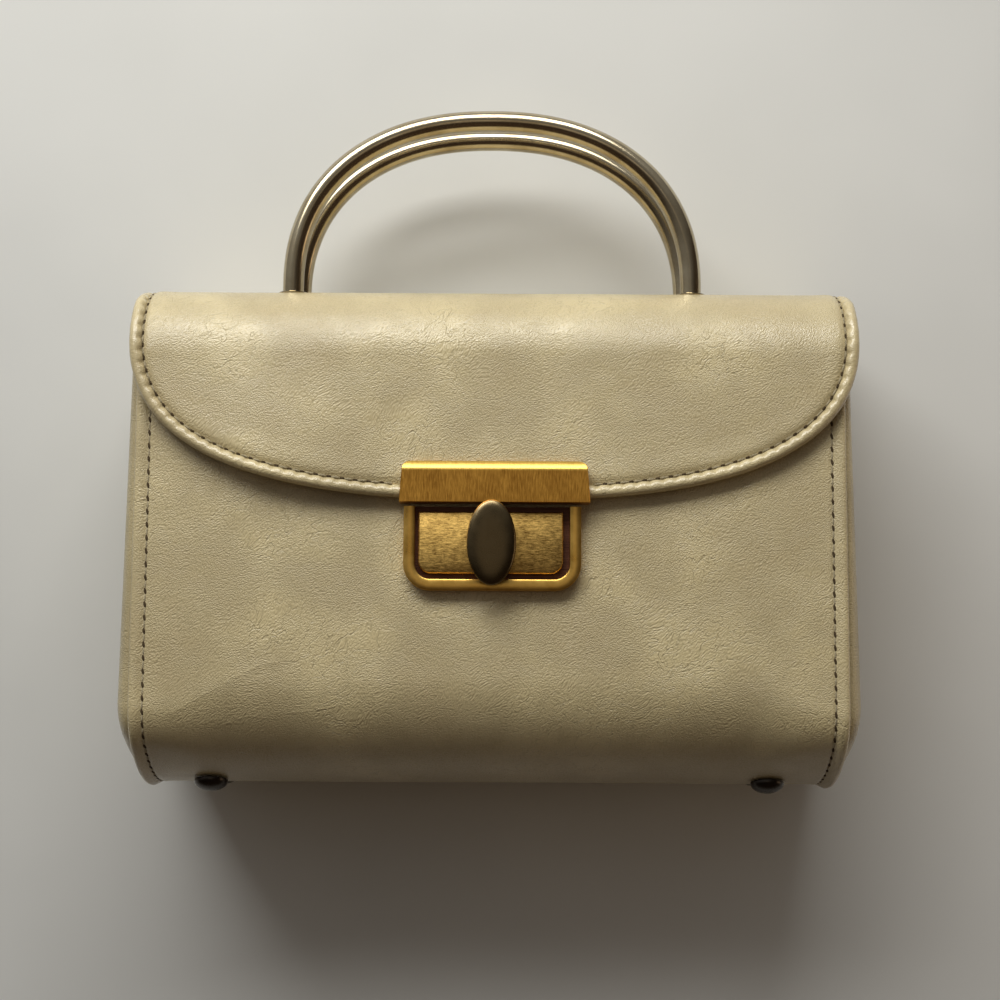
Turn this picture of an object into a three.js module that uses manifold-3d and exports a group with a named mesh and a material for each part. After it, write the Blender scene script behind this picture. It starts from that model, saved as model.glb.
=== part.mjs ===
// Box purse: a leather-covered box, closed by a flap with a turn lock and carried by two rods.
// Millimetres. It is built in its own frame, x to the right, y up from its bottom and z from its
// middle plane to its front, and is then laid on its back with the front facing +Z.
import * as THREE from 'three';
import { mergeVertices } from 'three/addons/utils/BufferGeometryUtils.js';
import Module from 'manifold-3d';

const wasm = await Module();
wasm.setup();

// Box: side profile of front, bottom and back. The lower corners are rounder in the middle.
const TOTAL_HEIGHT = 142.9;
const TAPER = THREE.MathUtils.degToRad(2.13);
const HALF_DEPTH = 35.5;
const CORNER_RADIUS = 16;
const MIDDLE_CORNER_RADIUS = 26;
const CROWN_RADIUS = 45;
const WALL = 2.2;
const GAP = 0.3;
const MERGE_DISTANCE = 1e-4;

// Wrap: front, bottom and back in one strip, with a raised turned edge along both sides
const WRAP_HALF_WIDTH = 99.7;
const RIM_WIDTH = 4.4;
const RIM_SLOPE = 0.8;
const RIM_RISE = 0.6;
const FRONT_TOP = 121.5;
const BACK_TOP = 130.5;
const WRAP_STATIONS = [
  { inset: 0, rise: RIM_RISE, corner: CORNER_RADIUS },
  { inset: RIM_WIDTH, rise: RIM_RISE, corner: CORNER_RADIUS },
  { inset: RIM_WIDTH + RIM_SLOPE, rise: 0, corner: CORNER_RADIUS },
  { inset: 15, rise: 0, corner: (CORNER_RADIUS + MIDDLE_CORNER_RADIUS) / 2 },
  { inset: 28, rise: 0, corner: MIDDLE_CORNER_RADIUS },
];
const ARC_STEPS = 7;
const CROWN_STEPS = 10;

// End panels: padded pans that stand out past the wrap's edges, less so at the top and the foot
const PANEL_TOP = TOTAL_HEIGHT - 4.2;
const PANEL_TOP_RADIUS = 16;
const PANEL_FLANGE = 3.7;
const PANEL_BULGE_LOW = 4.9;
const PANEL_BULGE_HIGH = 2.3;
const PANEL_FOOT = 30;
const PANEL_FOOT_LOSS = 0.9;
const PANEL_ROLL = [
  { inset: 0, rise: 0.15 },
  { inset: 0.6, rise: 0.55 },
  { inset: 2.2, rise: 0.88 },
  { inset: 5.2, rise: 1 },
];

// Flap: a top and a rounded front drop, with a corded edge that lies lower on the top
const FOLD_RADIUS = 22;
const FOLD_HEIGHT = TOTAL_HEIGHT - FOLD_RADIUS;
const FOLD_INSIDE = FOLD_RADIUS - WALL;
const BACK_FOLD_RADIUS = 12;
const BACK_FOLD_HEIGHT = TOTAL_HEIGHT - BACK_FOLD_RADIUS;
const FLAP_OFFSET = 0.9;
const FLAP_HALF_WIDTH = 100.8;
const FLAP_STAND_OFF = 1.1;
const FLAP_TUCK = 1.2;
const FLAP_CURVE_TOP = 129.5;
const FLAP_LOWEST = 82.5;
const FLAP_CURVE_POWER = 2.6;
const FLAP_COLUMNS = 36;
const BACK_FOLD_STEPS = 5;
const FRONT_STEPS = 12;
const SIDE_STEPS = 5;
const CORD_RADIUS = 1.8;
const CORD_LIFT = 1.6;
const CORD_TOP_LIFT = 0.2;
const CORD_TURN_START = 0.5;
const CORD_SIDES = 8;

// Handles: two round rods, each bent to an arch and riveted through the flap's top
const HANDLE_SPACING = 20;
const ROD_RADIUS = 3.1;
const ARCH_HALF_WIDTH = 58.7;
const ARCH_RISE = 50.2;
const ARCH_FOOT = 145.6;
const ARCH_POWER = 2.25;
const ARCH_POINTS = 24;
const ROD_STEPS = 40;
const ROD_SIDES = 12;
const COLLAR_RADIUS = 4.5;
const COLLAR_HEIGHT = 0.7;
const RIVET_HEIGHT = 1.6;

// Lock: heights are above the front panel's surface, places are from the knob's centre
const KNOB_HEIGHT_ON_BOX = 68.5;
const KNOB = { x: 0.4, halfWidth: 6.8, halfHeight: 11.75, underside: 6.6, dome: 2.8, belly: 0.9 };
const STEM_RADIUS = 3.5;
const STEM_FOOT = 1.4;
const PLATE = { x: 1.2, width: 52.9, top: 22.9, bottom: 11.2, back: 3.6, front: 6.2, chamfer: 2.4, lip: 0.8 };
const PLATE_LIP_BACK = 0.6;
const PLATE_CORNER = 2.2;
const PLATE_FLARE = 0.8;
const BASE = { x: 0.65, halfWidth: 24.65, top: 10.4, bottom: -13, corner: 7.5, bar: 3.2 };
const BASE_FLOOR = 1.1;
const BASE_FACE = 3.3;
const LOCK_PANEL = { x: 0.2, halfWidth: 20.1, top: 8.9, bottom: -8.3, corner: 3.6, floor: 1.4, face: 3 };
const LOCK_PANEL_BEVEL = 0.4;
const OUTLINE_STEPS = 6;
const KNOB_SIDES = 24;
const KNOB_BANDS = 12;

// Feet: four domed studs on the bottom
const FOOT_X = 80;
const FOOT_Z = 12.5;
const FOOT_RADIUS = 4.8;
const FOOT_RIM = 0.7;
const FOOT_HEIGHT = 3.2;
const FOOT_SIDES = 16;
const FOOT_STEPS = 5;

const LEATHER = { color: 0xc9bd98, roughness: 0.5, metalness: 0 };
const EDGE_LEATHER = { color: 0xb8aa84, roughness: 0.55, metalness: 0 };
const POLISHED_BRASS = { color: 0xb9a878, roughness: 0.15, metalness: 1 };
const BRUSHED_BRASS = { color: 0xa87d2e, roughness: 0.4, metalness: 1 };
const AGED_BRONZE = { color: 0x5d4a2c, roughness: 0.35, metalness: 1 };

// Centre of the arc of an end's lower corner, which touches the crown and the leaning side
const CORNER_Z = HALF_DEPTH - CORNER_RADIUS;
const CORNER_Y = CROWN_RADIUS - Math.sqrt((CROWN_RADIUS - CORNER_RADIUS) ** 2 - CORNER_Z ** 2);

// Distance of the front from the middle plane at a height, for a surface offset outwards
function frontZ(y, offset) {
  return CORNER_Z + (CORNER_RADIUS + offset - (y - CORNER_Y) * Math.sin(TAPER)) / Math.cos(TAPER);
}

function arcPoints(centreZ, centreY, radius, from, to, steps) {
  const points = [];
  for (let i = 0; i <= steps; i++) {
    const angle = THREE.MathUtils.lerp(from, to, i / steps);
    points.push(new THREE.Vector2(centreZ + radius * Math.cos(angle), centreY + radius * Math.sin(angle)));
  }
  return points;
}

// Centre of a lower corner's arc of any radius, which touches the crown and the leaning side
function cornerCentre(radius) {
  const lean = Math.tan(TAPER);
  const reach = frontZ(0, -radius);
  const half = lean * reach + CROWN_RADIUS;
  const square = 1 + lean ** 2;
  const rest = reach ** 2 + CROWN_RADIUS ** 2 - (CROWN_RADIUS - radius) ** 2;
  const y = (half - Math.sqrt(half ** 2 - square * rest)) / square;
  return { z: reach - lean * y, y };
}

// Bottom of the profile, from the end of the front to the end of the back, as (z, y) points
function bottomProfile(offset, radius) {
  const { z, y } = cornerCentre(radius);
  const low = -Math.PI / 2;
  const spread = Math.atan2(z, CROWN_RADIUS - y);
  const front = arcPoints(z, y, radius + offset, TAPER, low + spread, ARC_STEPS);
  const crown = arcPoints(0, CROWN_RADIUS, CROWN_RADIUS + offset, low + spread, low - spread, CROWN_STEPS);
  const back = arcPoints(-z, y, radius + offset, low - spread, -Math.PI - TAPER, ARC_STEPS);
  return [...front, ...crown.slice(1, -1), ...back];
}

// Triangles that fill a ring, turned the same way round as the ring itself
function fillRing(ring) {
  const filled = THREE.ShapeUtils.triangulateShape(ring, []);
  return THREE.ShapeUtils.isClockWise(ring) ? filled.map(([a, b, c]) => [a, c, b]) : filled;
}

// Closed body from rings of equal length at successive places, with both end rings filled
function loftRings(rings, flatten) {
  const count = rings[0].length;
  const positions = rings.flat().flatMap((point) => point.toArray());
  const triangles = [];
  for (let i = 0; i + 1 < rings.length; i++) {
    for (let j = 0; j < count; j++) {
      const a = i * count + j;
      const b = i * count + ((j + 1) % count);
      triangles.push(a, b, a + count, b, b + count, a + count);
    }
  }
  const last = (rings.length - 1) * count;
  for (const [a, b, c] of fillRing(rings[0].map(flatten))) {
    triangles.push(a, c, b);
  }
  for (const [a, b, c] of fillRing(rings[rings.length - 1].map(flatten))) {
    triangles.push(last + a, last + b, last + c);
  }
  const geometry = new THREE.BufferGeometry();
  geometry.setAttribute('position', new THREE.Float32BufferAttribute(positions, 3));
  geometry.setIndex(triangles);
  return facingOut(geometry);
}

function signedVolume(geometry) {
  const position = geometry.getAttribute('position');
  const index = geometry.getIndex();
  const corners = [new THREE.Vector3(), new THREE.Vector3(), new THREE.Vector3()];
  let volume = 0;
  for (let i = 0; i < index.count; i += 3) {
    corners.forEach((corner, k) => corner.fromBufferAttribute(position, index.getX(i + k)));
    volume += corners[0].dot(corners[1].cross(corners[2]));
  }
  return volume / 6;
}

// The same body with its triangles turned, if needed, so that they face outwards
function facingOut(geometry) {
  if (signedVolume(geometry) < 0) {
    const index = geometry.getIndex();
    for (let i = 0; i < index.count; i += 3) {
      const second = index.getX(i + 1);
      index.setX(i + 1, index.getX(i + 2));
      index.setX(i + 2, second);
    }
  }
  geometry.computeVertexNormals();
  return geometry;
}

function toSolid(geometry) {
  const bare = geometry.clone();
  bare.deleteAttribute('normal');
  bare.deleteAttribute('uv');
  const merged = mergeVertices(bare, MERGE_DISTANCE);
  const vertProperties = new Float32Array(merged.getAttribute('position').array);
  const triVerts = new Uint32Array(merged.getIndex().array);
  return new wasm.Manifold(new wasm.Mesh({ numProp: 3, vertProperties, triVerts }));
}

function toGeometry(solid) {
  const mesh = solid.getMesh();
  const geometry = new THREE.BufferGeometry();
  geometry.setAttribute('position', new THREE.BufferAttribute(mesh.vertProperties, 3));
  geometry.setIndex(new THREE.BufferAttribute(mesh.triVerts, 1));
  geometry.computeVertexNormals();
  return geometry;
}

function namedMesh(name, geometry, finish) {
  const mesh = new THREE.Mesh(geometry, new THREE.MeshStandardMaterial(finish));
  mesh.name = name;
  return mesh;
}

// Upright cylinder between two heights
function upright(x, z, radius, low, high, sides) {
  const geometry = new THREE.CylinderGeometry(radius, radius, high - low, sides);
  return geometry.translate(x, (low + high) / 2, z);
}

// Wrap: the profile's ring, lofted across the width
function wrapRing(x, { rise, corner }) {
  const outer = bottomProfile(rise, corner);
  const inner = bottomProfile(-WALL, corner);
  const ring = [
    new THREE.Vector2(frontZ(FRONT_TOP, rise), FRONT_TOP),
    ...outer,
    new THREE.Vector2(-frontZ(BACK_TOP, rise), BACK_TOP),
    new THREE.Vector2(-frontZ(BACK_TOP, -WALL), BACK_TOP),
    ...inner.reverse(),
    new THREE.Vector2(frontZ(FRONT_TOP, -WALL), FRONT_TOP),
  ];
  return ring.map((point) => new THREE.Vector3(x, point.y, point.x));
}

function bodyWrap() {
  const left = WRAP_STATIONS.map((station) => wrapRing(station.inset - WRAP_HALF_WIDTH, station));
  const right = WRAP_STATIONS.map((station) => wrapRing(WRAP_HALF_WIDTH - station.inset, station));
  return loftRings([...left, ...right.reverse()], (point) => new THREE.Vector2(point.z, point.y));
}

// Outline of an end panel, drawn in from the wrap's inside
function panelOutline(inset) {
  const offset = -(WALL + GAP + inset);
  const radius = PANEL_TOP_RADIUS - inset;
  const cornerY = PANEL_TOP - PANEL_TOP_RADIUS;
  const cornerZ = frontZ(cornerY, -(WALL + GAP) - PANEL_TOP_RADIUS);
  const backCorner = arcPoints(-cornerZ, cornerY, radius, Math.PI - TAPER, Math.PI / 2, ARC_STEPS);
  const frontCorner = arcPoints(cornerZ, cornerY, radius, Math.PI / 2, TAPER, ARC_STEPS);
  return [...bottomProfile(offset, CORNER_RADIUS), ...backCorner, ...frontCorner];
}

function panelRing(side, inset, reach) {
  return panelOutline(inset).map((point) => new THREE.Vector3(side * reach(point.y), point.y, point.x));
}

function endPanel(side) {
  const bulge = (y) => {
    const foot = Math.max(0, 1 - y / PANEL_FOOT);
    const full = THREE.MathUtils.lerp(PANEL_BULGE_LOW, PANEL_BULGE_HIGH, y / PANEL_TOP);
    return full * (1 - PANEL_FOOT_LOSS * foot ** 2);
  };
  const flangeEdge = () => WRAP_HALF_WIDTH - PANEL_FLANGE;
  const outerRings = PANEL_ROLL.map(({ inset, rise }) =>
    panelRing(side, inset, (y) => WRAP_HALF_WIDTH + rise * bulge(y)));
  const innerRings = PANEL_ROLL.map(({ inset, rise }) =>
    panelRing(side, inset + WALL, (y) => WRAP_HALF_WIDTH + rise * bulge(y) - WALL));
  const rings = [
    ...outerRings.reverse(),
    panelRing(side, 0, flangeEdge),
    panelRing(side, WALL, flangeEdge),
    ...innerRings,
  ];
  return loftRings(rings, (point) => new THREE.Vector2(point.z, point.y));
}

// Height of the flap's edge at a distance from the flap's middle
function flapEdgeHeight(x) {
  const share = Math.min(1, Math.abs(x) / FLAP_HALF_WIDTH);
  const drop = (1 - share ** FLAP_CURVE_POWER) ** (1 / FLAP_CURVE_POWER);
  return FLAP_CURVE_TOP - (FLAP_CURVE_TOP - FLAP_LOWEST) * drop;
}

// Place on the flap's front at a distance along its inside face from the flat of the top. The lift
// is measured from the inside face: 0 is the inside and WALL the outside.
function frontPlace(distance, lift) {
  const turned = Math.min(distance / FOLD_INSIDE, Math.PI / 2 - TAPER);
  const angle = Math.PI / 2 - turned;
  const straight = distance - turned * FOLD_INSIDE;
  const radius = FOLD_INSIDE + lift;
  const foldZ = frontZ(FOLD_HEIGHT, FLAP_STAND_OFF - FOLD_INSIDE);
  const y = FOLD_HEIGHT + radius * Math.sin(angle) - straight * Math.cos(TAPER);
  return new THREE.Vector2(foldZ + radius * Math.cos(angle) + straight * Math.sin(TAPER), y);
}

// Distance along the inside face at which the flap's front is at a height
function frontDistance(height) {
  const foldEnd = FOLD_HEIGHT + FOLD_INSIDE * Math.sin(TAPER);
  if (height >= foldEnd) {
    return FOLD_INSIDE * Math.acos((height - FOLD_HEIGHT) / FOLD_INSIDE);
  }
  return FOLD_INSIDE * (Math.PI / 2 - TAPER) + (foldEnd - height) / Math.cos(TAPER);
}

function backFold(lift) {
  const radius = BACK_FOLD_RADIUS - WALL + lift;
  const z = -frontZ(BACK_FOLD_HEIGHT, -FLAP_TUCK - BACK_FOLD_RADIUS);
  return arcPoints(z, BACK_FOLD_HEIGHT, radius, Math.PI - TAPER, Math.PI / 2, BACK_FOLD_STEPS);
}

// Section of the flap from the seam at the back to a height in front
function flapSection(edgeHeight, lift, steps) {
  const end = frontDistance(edgeHeight);
  const front = Array.from({ length: steps + 1 }, (_, i) => frontPlace((end * i) / steps, lift));
  return [...backFold(lift), ...front];
}

// Sheet of the flap: one closed ring, outside then inside, for each column across the width
function flapSheet() {
  const rings = [];
  for (let i = 0; i <= FLAP_COLUMNS; i++) {
    const x = FLAP_HALF_WIDTH * Math.sin(Math.PI * (i / FLAP_COLUMNS - 0.5));
    const outside = flapSection(flapEdgeHeight(x), WALL, FRONT_STEPS);
    const inside = flapSection(flapEdgeHeight(x), 0, FRONT_STEPS);
    const ring = [...outside, ...inside.reverse()];
    rings.push(ring.map((point) => new THREE.Vector3(x, point.y, point.x)));
  }
  return loftRings(rings, (point) => new THREE.Vector2(point.z, point.y));
}

// Corded edge on one side, from the seam at the back to the lock's plate. It lies lower on the top.
function flapCord(side) {
  const points = [];
  const raised = flapSection(FLAP_CURVE_TOP, CORD_LIFT, SIDE_STEPS);
  const lowered = flapSection(FLAP_CURVE_TOP, CORD_TOP_LIFT, SIDE_STEPS);
  const highest = raised[raised.length - SIDE_STEPS - 1].y;
  raised.slice(0, -1).forEach((point, i) => {
    const rise = (point.y - FLAP_CURVE_TOP) / (highest - FLAP_CURVE_TOP);
    const turn = THREE.MathUtils.smoothstep(rise, CORD_TURN_START, 1);
    const { x: z, y } = point.clone().lerp(lowered[i], turn);
    points.push(new THREE.Vector3(side * FLAP_HALF_WIDTH, y, z));
  });
  const plateEnd = Math.asin((PLATE.width / 2 + GAP) / FLAP_HALF_WIDTH);
  const curveSteps = FLAP_COLUMNS / 2;
  for (let i = 0; i <= curveSteps; i++) {
    const x = FLAP_HALF_WIDTH * Math.sin(THREE.MathUtils.lerp(Math.PI / 2, plateEnd, i / curveSteps));
    const { x: z, y } = frontPlace(frontDistance(flapEdgeHeight(x)), CORD_LIFT);
    points.push(new THREE.Vector3(side * x, y, z));
  }
  return rodThrough(points, CORD_RADIUS, CORD_SIDES);
}

// Round rod with one ring at each point, square to the path there
function rodThrough(points, radius, sides) {
  let normal = new THREE.Vector3(1, 0, 0);
  const rings = points.map((point, i) => {
    const before = points[Math.max(0, i - 1)];
    const after = points[Math.min(points.length - 1, i + 1)];
    const tangent = after.clone().sub(before).normalize();
    normal = normal.clone().projectOnPlane(tangent).normalize();
    const binormal = tangent.clone().cross(normal);
    return Array.from({ length: sides }, (_, k) => {
      const angle = (2 * Math.PI * k) / sides;
      const spot = point.clone().addScaledVector(normal, radius * Math.cos(angle));
      return spot.addScaledVector(binormal, radius * Math.sin(angle));
    });
  });
  return loftRings(rings, (point) => new THREE.Vector2(point.x + point.y, point.z));
}

// Round rod along a curve through points
function rodAlong(points, radius, sides, steps) {
  const circle = new THREE.EllipseCurve(0, 0, radius, radius).getPoints(sides);
  const section = new THREE.Shape(circle.slice(0, sides));
  const extrudePath = new THREE.CatmullRomCurve3(points, false, 'centripetal');
  return new THREE.ExtrudeGeometry(section, { steps, extrudePath, curveSegments: sides });
}

// Both legs of both handles, as places on the flap's top
function handleLegs() {
  const legs = [];
  for (const z of [HANDLE_SPACING / 2, -HANDLE_SPACING / 2]) {
    for (const x of [-ARCH_HALF_WIDTH, ARCH_HALF_WIDTH]) {
      legs.push({ x, z });
    }
  }
  return legs;
}

function flap() {
  let solid = toSolid(flapSheet()).add(toSolid(flapCord(-1))).add(toSolid(flapCord(1)));
  const holeHigh = TOTAL_HEIGHT + FOLD_RADIUS;
  for (const leg of handleLegs()) {
    const hole = upright(leg.x - FLAP_OFFSET, leg.z, ROD_RADIUS + GAP, FOLD_HEIGHT, holeHigh, ROD_SIDES);
    solid = solid.subtract(toSolid(hole));
  }
  return toGeometry(solid);
}

// Handle: an arch, with a collar above the flap and a rivet head below it on each leg
function handle(z) {
  const rivetTop = TOTAL_HEIGHT - WALL - GAP;
  const rivetLow = rivetTop - RIVET_HEIGHT;
  const collarLow = TOTAL_HEIGHT + GAP;
  const points = [new THREE.Vector3(ARCH_HALF_WIDTH, rivetLow + GAP, z)];
  for (let i = 0; i <= ARCH_POINTS; i++) {
    const angle = Math.PI * (i / ARCH_POINTS);
    const across = Math.abs(Math.cos(angle)) ** (2 / ARCH_POWER) * Math.sign(Math.cos(angle));
    const up = Math.sin(angle) ** (2 / ARCH_POWER);
    points.push(new THREE.Vector3(ARCH_HALF_WIDTH * across, ARCH_FOOT + ARCH_RISE * up, z));
  }
  points.push(new THREE.Vector3(-ARCH_HALF_WIDTH, rivetLow + GAP, z));
  let solid = toSolid(rodAlong(points, ROD_RADIUS, ROD_SIDES, ROD_STEPS));
  for (const leg of handleLegs().filter((place) => place.z === z)) {
    const collar = upright(leg.x, z, COLLAR_RADIUS, collarLow, collarLow + COLLAR_HEIGHT, ROD_SIDES);
    const rivet = upright(leg.x, z, COLLAR_RADIUS, rivetLow, rivetTop, ROD_SIDES);
    solid = solid.add(toSolid(collar)).add(toSolid(rivet));
  }
  return toGeometry(solid);
}

// Foot: a domed stud, turned about +Y with its base at 0
function footStud() {
  const profile = [new THREE.Vector2(0, 0), new THREE.Vector2(FOOT_RADIUS, 0)];
  for (let i = 0; i <= FOOT_STEPS; i++) {
    const angle = (Math.PI / 2) * (i / FOOT_STEPS);
    const height = FOOT_RIM + (FOOT_HEIGHT - FOOT_RIM) * Math.sin(angle);
    profile.push(new THREE.Vector2(i === FOOT_STEPS ? 0 : FOOT_RADIUS * Math.cos(angle), height));
  }
  return toGeometry(toSolid(new THREE.LatheGeometry(profile, FOOT_SIDES)));
}

// Outline with square upper corners and round lower ones
function roundBottomedShape({ halfWidth, top, bottom, corner }) {
  const shape = new THREE.Shape();
  shape.moveTo(-halfWidth, top);
  shape.lineTo(-halfWidth, bottom + corner);
  shape.absarc(-halfWidth + corner, bottom + corner, corner, Math.PI, 1.5 * Math.PI, false);
  shape.absarc(halfWidth - corner, bottom + corner, corner, 1.5 * Math.PI, 2 * Math.PI, false);
  shape.lineTo(halfWidth, top);
  shape.closePath();
  return shape;
}

// Flat piece of an outline, between two heights above the front panel
function slab(shape, low, high) {
  const options = { depth: high - low, curveSegments: OUTLINE_STEPS, bevelEnabled: false };
  return new THREE.ExtrudeGeometry(shape, options).translate(0, 0, low);
}

// Lock base: a floor with a U-shaped frame standing on it
function lockBase() {
  const { halfWidth, top, bottom, corner, bar } = BASE;
  const inside = {
    halfWidth: halfWidth - bar,
    top: top + bar,
    bottom: bottom + bar,
    corner: corner - bar,
  };
  const block = toSolid(slab(roundBottomedShape(BASE), GAP, BASE_FACE));
  const well = toSolid(slab(roundBottomedShape(inside), BASE_FLOOR, BASE_FACE + bar));
  return toGeometry(block.subtract(well));
}

// Lock panel: a bevelled plate in the frame, with a hole for the knob's stem
function lockPanel() {
  const { halfWidth, top, bottom, corner, floor, face } = LOCK_PANEL;
  const inset = LOCK_PANEL_BEVEL;
  const shoulder = {
    halfWidth: halfWidth - inset,
    top: top - inset,
    bottom: bottom + inset,
    corner: corner - inset,
  };
  const foot = toSolid(slab(roundBottomedShape(LOCK_PANEL), floor, face - inset));
  const crown = toSolid(slab(roundBottomedShape(shoulder), floor, face));
  const hole = new THREE.CylinderGeometry(STEM_RADIUS + GAP, STEM_RADIUS + GAP, 2 * face, ROD_SIDES);
  hole.rotateX(Math.PI / 2).translate(KNOB.x - LOCK_PANEL.x, 0, face);
  return toGeometry(foot.add(crown).subtract(toSolid(hole)));
}

// Knob: an oval dome with a shallow belly, on a round stem
function turnKnob() {
  const dome = new THREE.SphereGeometry(1, KNOB_SIDES, KNOB_BANDS);
  const position = dome.getAttribute('position');
  for (let i = 0; i < position.count; i++) {
    const z = position.getZ(i);
    const height = z > 0 ? z * KNOB.dome : z * KNOB.belly;
    position.setXYZ(i, position.getX(i) * KNOB.halfWidth, position.getY(i) * KNOB.halfHeight, height);
  }
  dome.translate(0, 0, KNOB.underside + KNOB.belly);
  const stemLength = KNOB.underside + KNOB.belly - STEM_FOOT;
  const stem = new THREE.CylinderGeometry(STEM_RADIUS, STEM_RADIUS, stemLength, ROD_SIDES);
  stem.rotateX(Math.PI / 2).translate(0, 0, STEM_FOOT + stemLength / 2);
  return toGeometry(toSolid(dome).add(toSolid(stem)));
}

// Flap plate: a bar with a chamfered top and a lip round the flap's edge, flared towards its bottom
function flapPlate() {
  const { width, top, bottom, back, front, chamfer, lip } = PLATE;
  const profile = new THREE.Shape([
    new THREE.Vector2(back, top),
    new THREE.Vector2(back, bottom + lip),
    new THREE.Vector2(PLATE_LIP_BACK, bottom + lip),
    new THREE.Vector2(PLATE_LIP_BACK, bottom),
    new THREE.Vector2(front, bottom),
    new THREE.Vector2(front, top - chamfer),
    new THREE.Vector2(front - chamfer, top),
  ]);
  const bar = new THREE.ExtrudeGeometry(profile, { depth: width, bevelEnabled: false });
  bar.rotateY(-Math.PI / 2).translate(width / 2, 0, 0);
  const half = width / 2;
  const outline = new THREE.Shape();
  outline.moveTo(-half, bottom - lip);
  outline.lineTo(half, bottom - lip);
  outline.lineTo(half - PLATE_FLARE, top - PLATE_CORNER);
  outline.quadraticCurveTo(half - PLATE_FLARE, top, half - PLATE_FLARE - PLATE_CORNER, top);
  outline.lineTo(-half + PLATE_FLARE + PLATE_CORNER, top);
  outline.quadraticCurveTo(-half + PLATE_FLARE, top, -half + PLATE_FLARE, top - PLATE_CORNER);
  outline.closePath();
  return toGeometry(toSolid(bar).intersect(toSolid(slab(outline, 0, 2 * front))));
}

function lock() {
  const group = new THREE.Group();
  group.position.set(0, KNOB_HEIGHT_ON_BOX, frontZ(KNOB_HEIGHT_ON_BOX, 0));
  group.rotation.x = -TAPER;
  const pieces = [
    { name: 'lock_base', geometry: lockBase(), finish: BRUSHED_BRASS, x: BASE.x },
    { name: 'lock_panel', geometry: lockPanel(), finish: BRUSHED_BRASS, x: LOCK_PANEL.x },
    { name: 'flap_plate', geometry: flapPlate(), finish: BRUSHED_BRASS, x: PLATE.x },
    { name: 'turn_knob', geometry: turnKnob(), finish: AGED_BRONZE, x: KNOB.x },
  ];
  for (const { name, geometry, finish, x } of pieces) {
    const piece = namedMesh(name, geometry, finish);
    piece.position.x = x;
    group.add(piece);
  }
  return group;
}

function feet() {
  const group = new THREE.Group();
  const lean = Math.asin(FOOT_Z / CROWN_RADIUS);
  for (const [depthName, depth] of [['front', 1], ['back', -1]]) {
    for (const [sideName, side] of [['left', -1], ['right', 1]]) {
      const foot = namedMesh(`foot_${depthName}_${sideName}`, footStud(), AGED_BRONZE);
      const reach = CROWN_RADIUS + GAP;
      foot.position.set(side * FOOT_X, CROWN_RADIUS - reach * Math.cos(lean), depth * reach * Math.sin(lean));
      foot.rotation.x = Math.PI - depth * lean;
      group.add(foot);
    }
  }
  return group;
}

function boxPurse() {
  const purse = new THREE.Group();
  const flapMesh = namedMesh('flap', flap(), LEATHER);
  flapMesh.position.x = FLAP_OFFSET;
  purse.add(
    namedMesh('body_wrap', bodyWrap(), LEATHER),
    namedMesh('end_left', endPanel(-1), EDGE_LEATHER),
    namedMesh('end_right', endPanel(1), EDGE_LEATHER),
    flapMesh,
    namedMesh('handle_front', handle(HANDLE_SPACING / 2), POLISHED_BRASS),
    namedMesh('handle_back', handle(-HANDLE_SPACING / 2), POLISHED_BRASS),
    lock(),
    feet(),
  );
  return purse;
}

// Laid on its back, with the origin under the middle of the whole purse
const purse = boxPurse();
purse.rotation.x = -TAPER;
purse.updateMatrixWorld(true);
const reach = new THREE.Box3().setFromObject(purse, true);
purse.position.set(0, -(reach.min.y + reach.max.y) / 2, -reach.min.z);

export default purse;
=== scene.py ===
"""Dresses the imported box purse: leather panels, stitching, lock, rods and studs, on a pale floor."""
import math

import bpy
import numpy as np
from mathutils import Matrix, Vector


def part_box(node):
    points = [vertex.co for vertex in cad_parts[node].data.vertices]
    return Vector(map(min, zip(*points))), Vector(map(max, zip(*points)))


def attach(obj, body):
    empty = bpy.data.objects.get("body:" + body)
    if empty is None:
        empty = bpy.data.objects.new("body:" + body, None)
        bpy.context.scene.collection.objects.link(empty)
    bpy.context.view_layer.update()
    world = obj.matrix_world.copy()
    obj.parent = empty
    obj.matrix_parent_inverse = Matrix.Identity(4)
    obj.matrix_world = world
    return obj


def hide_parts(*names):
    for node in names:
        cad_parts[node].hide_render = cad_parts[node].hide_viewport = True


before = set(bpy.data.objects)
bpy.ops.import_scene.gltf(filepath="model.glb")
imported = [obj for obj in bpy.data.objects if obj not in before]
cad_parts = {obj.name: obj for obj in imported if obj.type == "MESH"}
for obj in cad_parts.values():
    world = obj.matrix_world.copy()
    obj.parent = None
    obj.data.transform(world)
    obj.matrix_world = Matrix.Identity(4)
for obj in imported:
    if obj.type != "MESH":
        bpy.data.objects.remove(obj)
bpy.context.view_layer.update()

# Lengths are millimetres in the purse's own frame: x to the right, u up from its bottom, and w from
# its middle plane to its front. place() turns them into metres in the row frame.
MM = 0.001

# Side profile of the box
TAPER = math.radians(2.13)
HALF_DEPTH = 35.5
CORNER_RADIUS = 16.0
MIDDLE_CORNER_RADIUS = 30.0
CROWN_RADIUS = 45.0
WALL = 2.2
GAP = 0.3
TOTAL_HEIGHT = 142.9
FRONT_TOP = 121.5
BACK_TOP = 130.5
CORNER_W = HALF_DEPTH - CORNER_RADIUS
CORNER_U = CROWN_RADIUS - math.sqrt((CROWN_RADIUS - CORNER_RADIUS) ** 2 - CORNER_W ** 2)

# Wrap
WRAP_HALF_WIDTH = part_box("body_wrap")[1].x / MM
RIM_RISE = 0.6
RIM_LOW_GAIN = 1.0
WRAP_STITCH_X = WRAP_HALF_WIDTH - 4.0
SOFT_CORNER_FROM = WRAP_HALF_WIDTH - 5.2
SOFT_CORNER_TO = WRAP_HALF_WIDTH - 28.0
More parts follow.
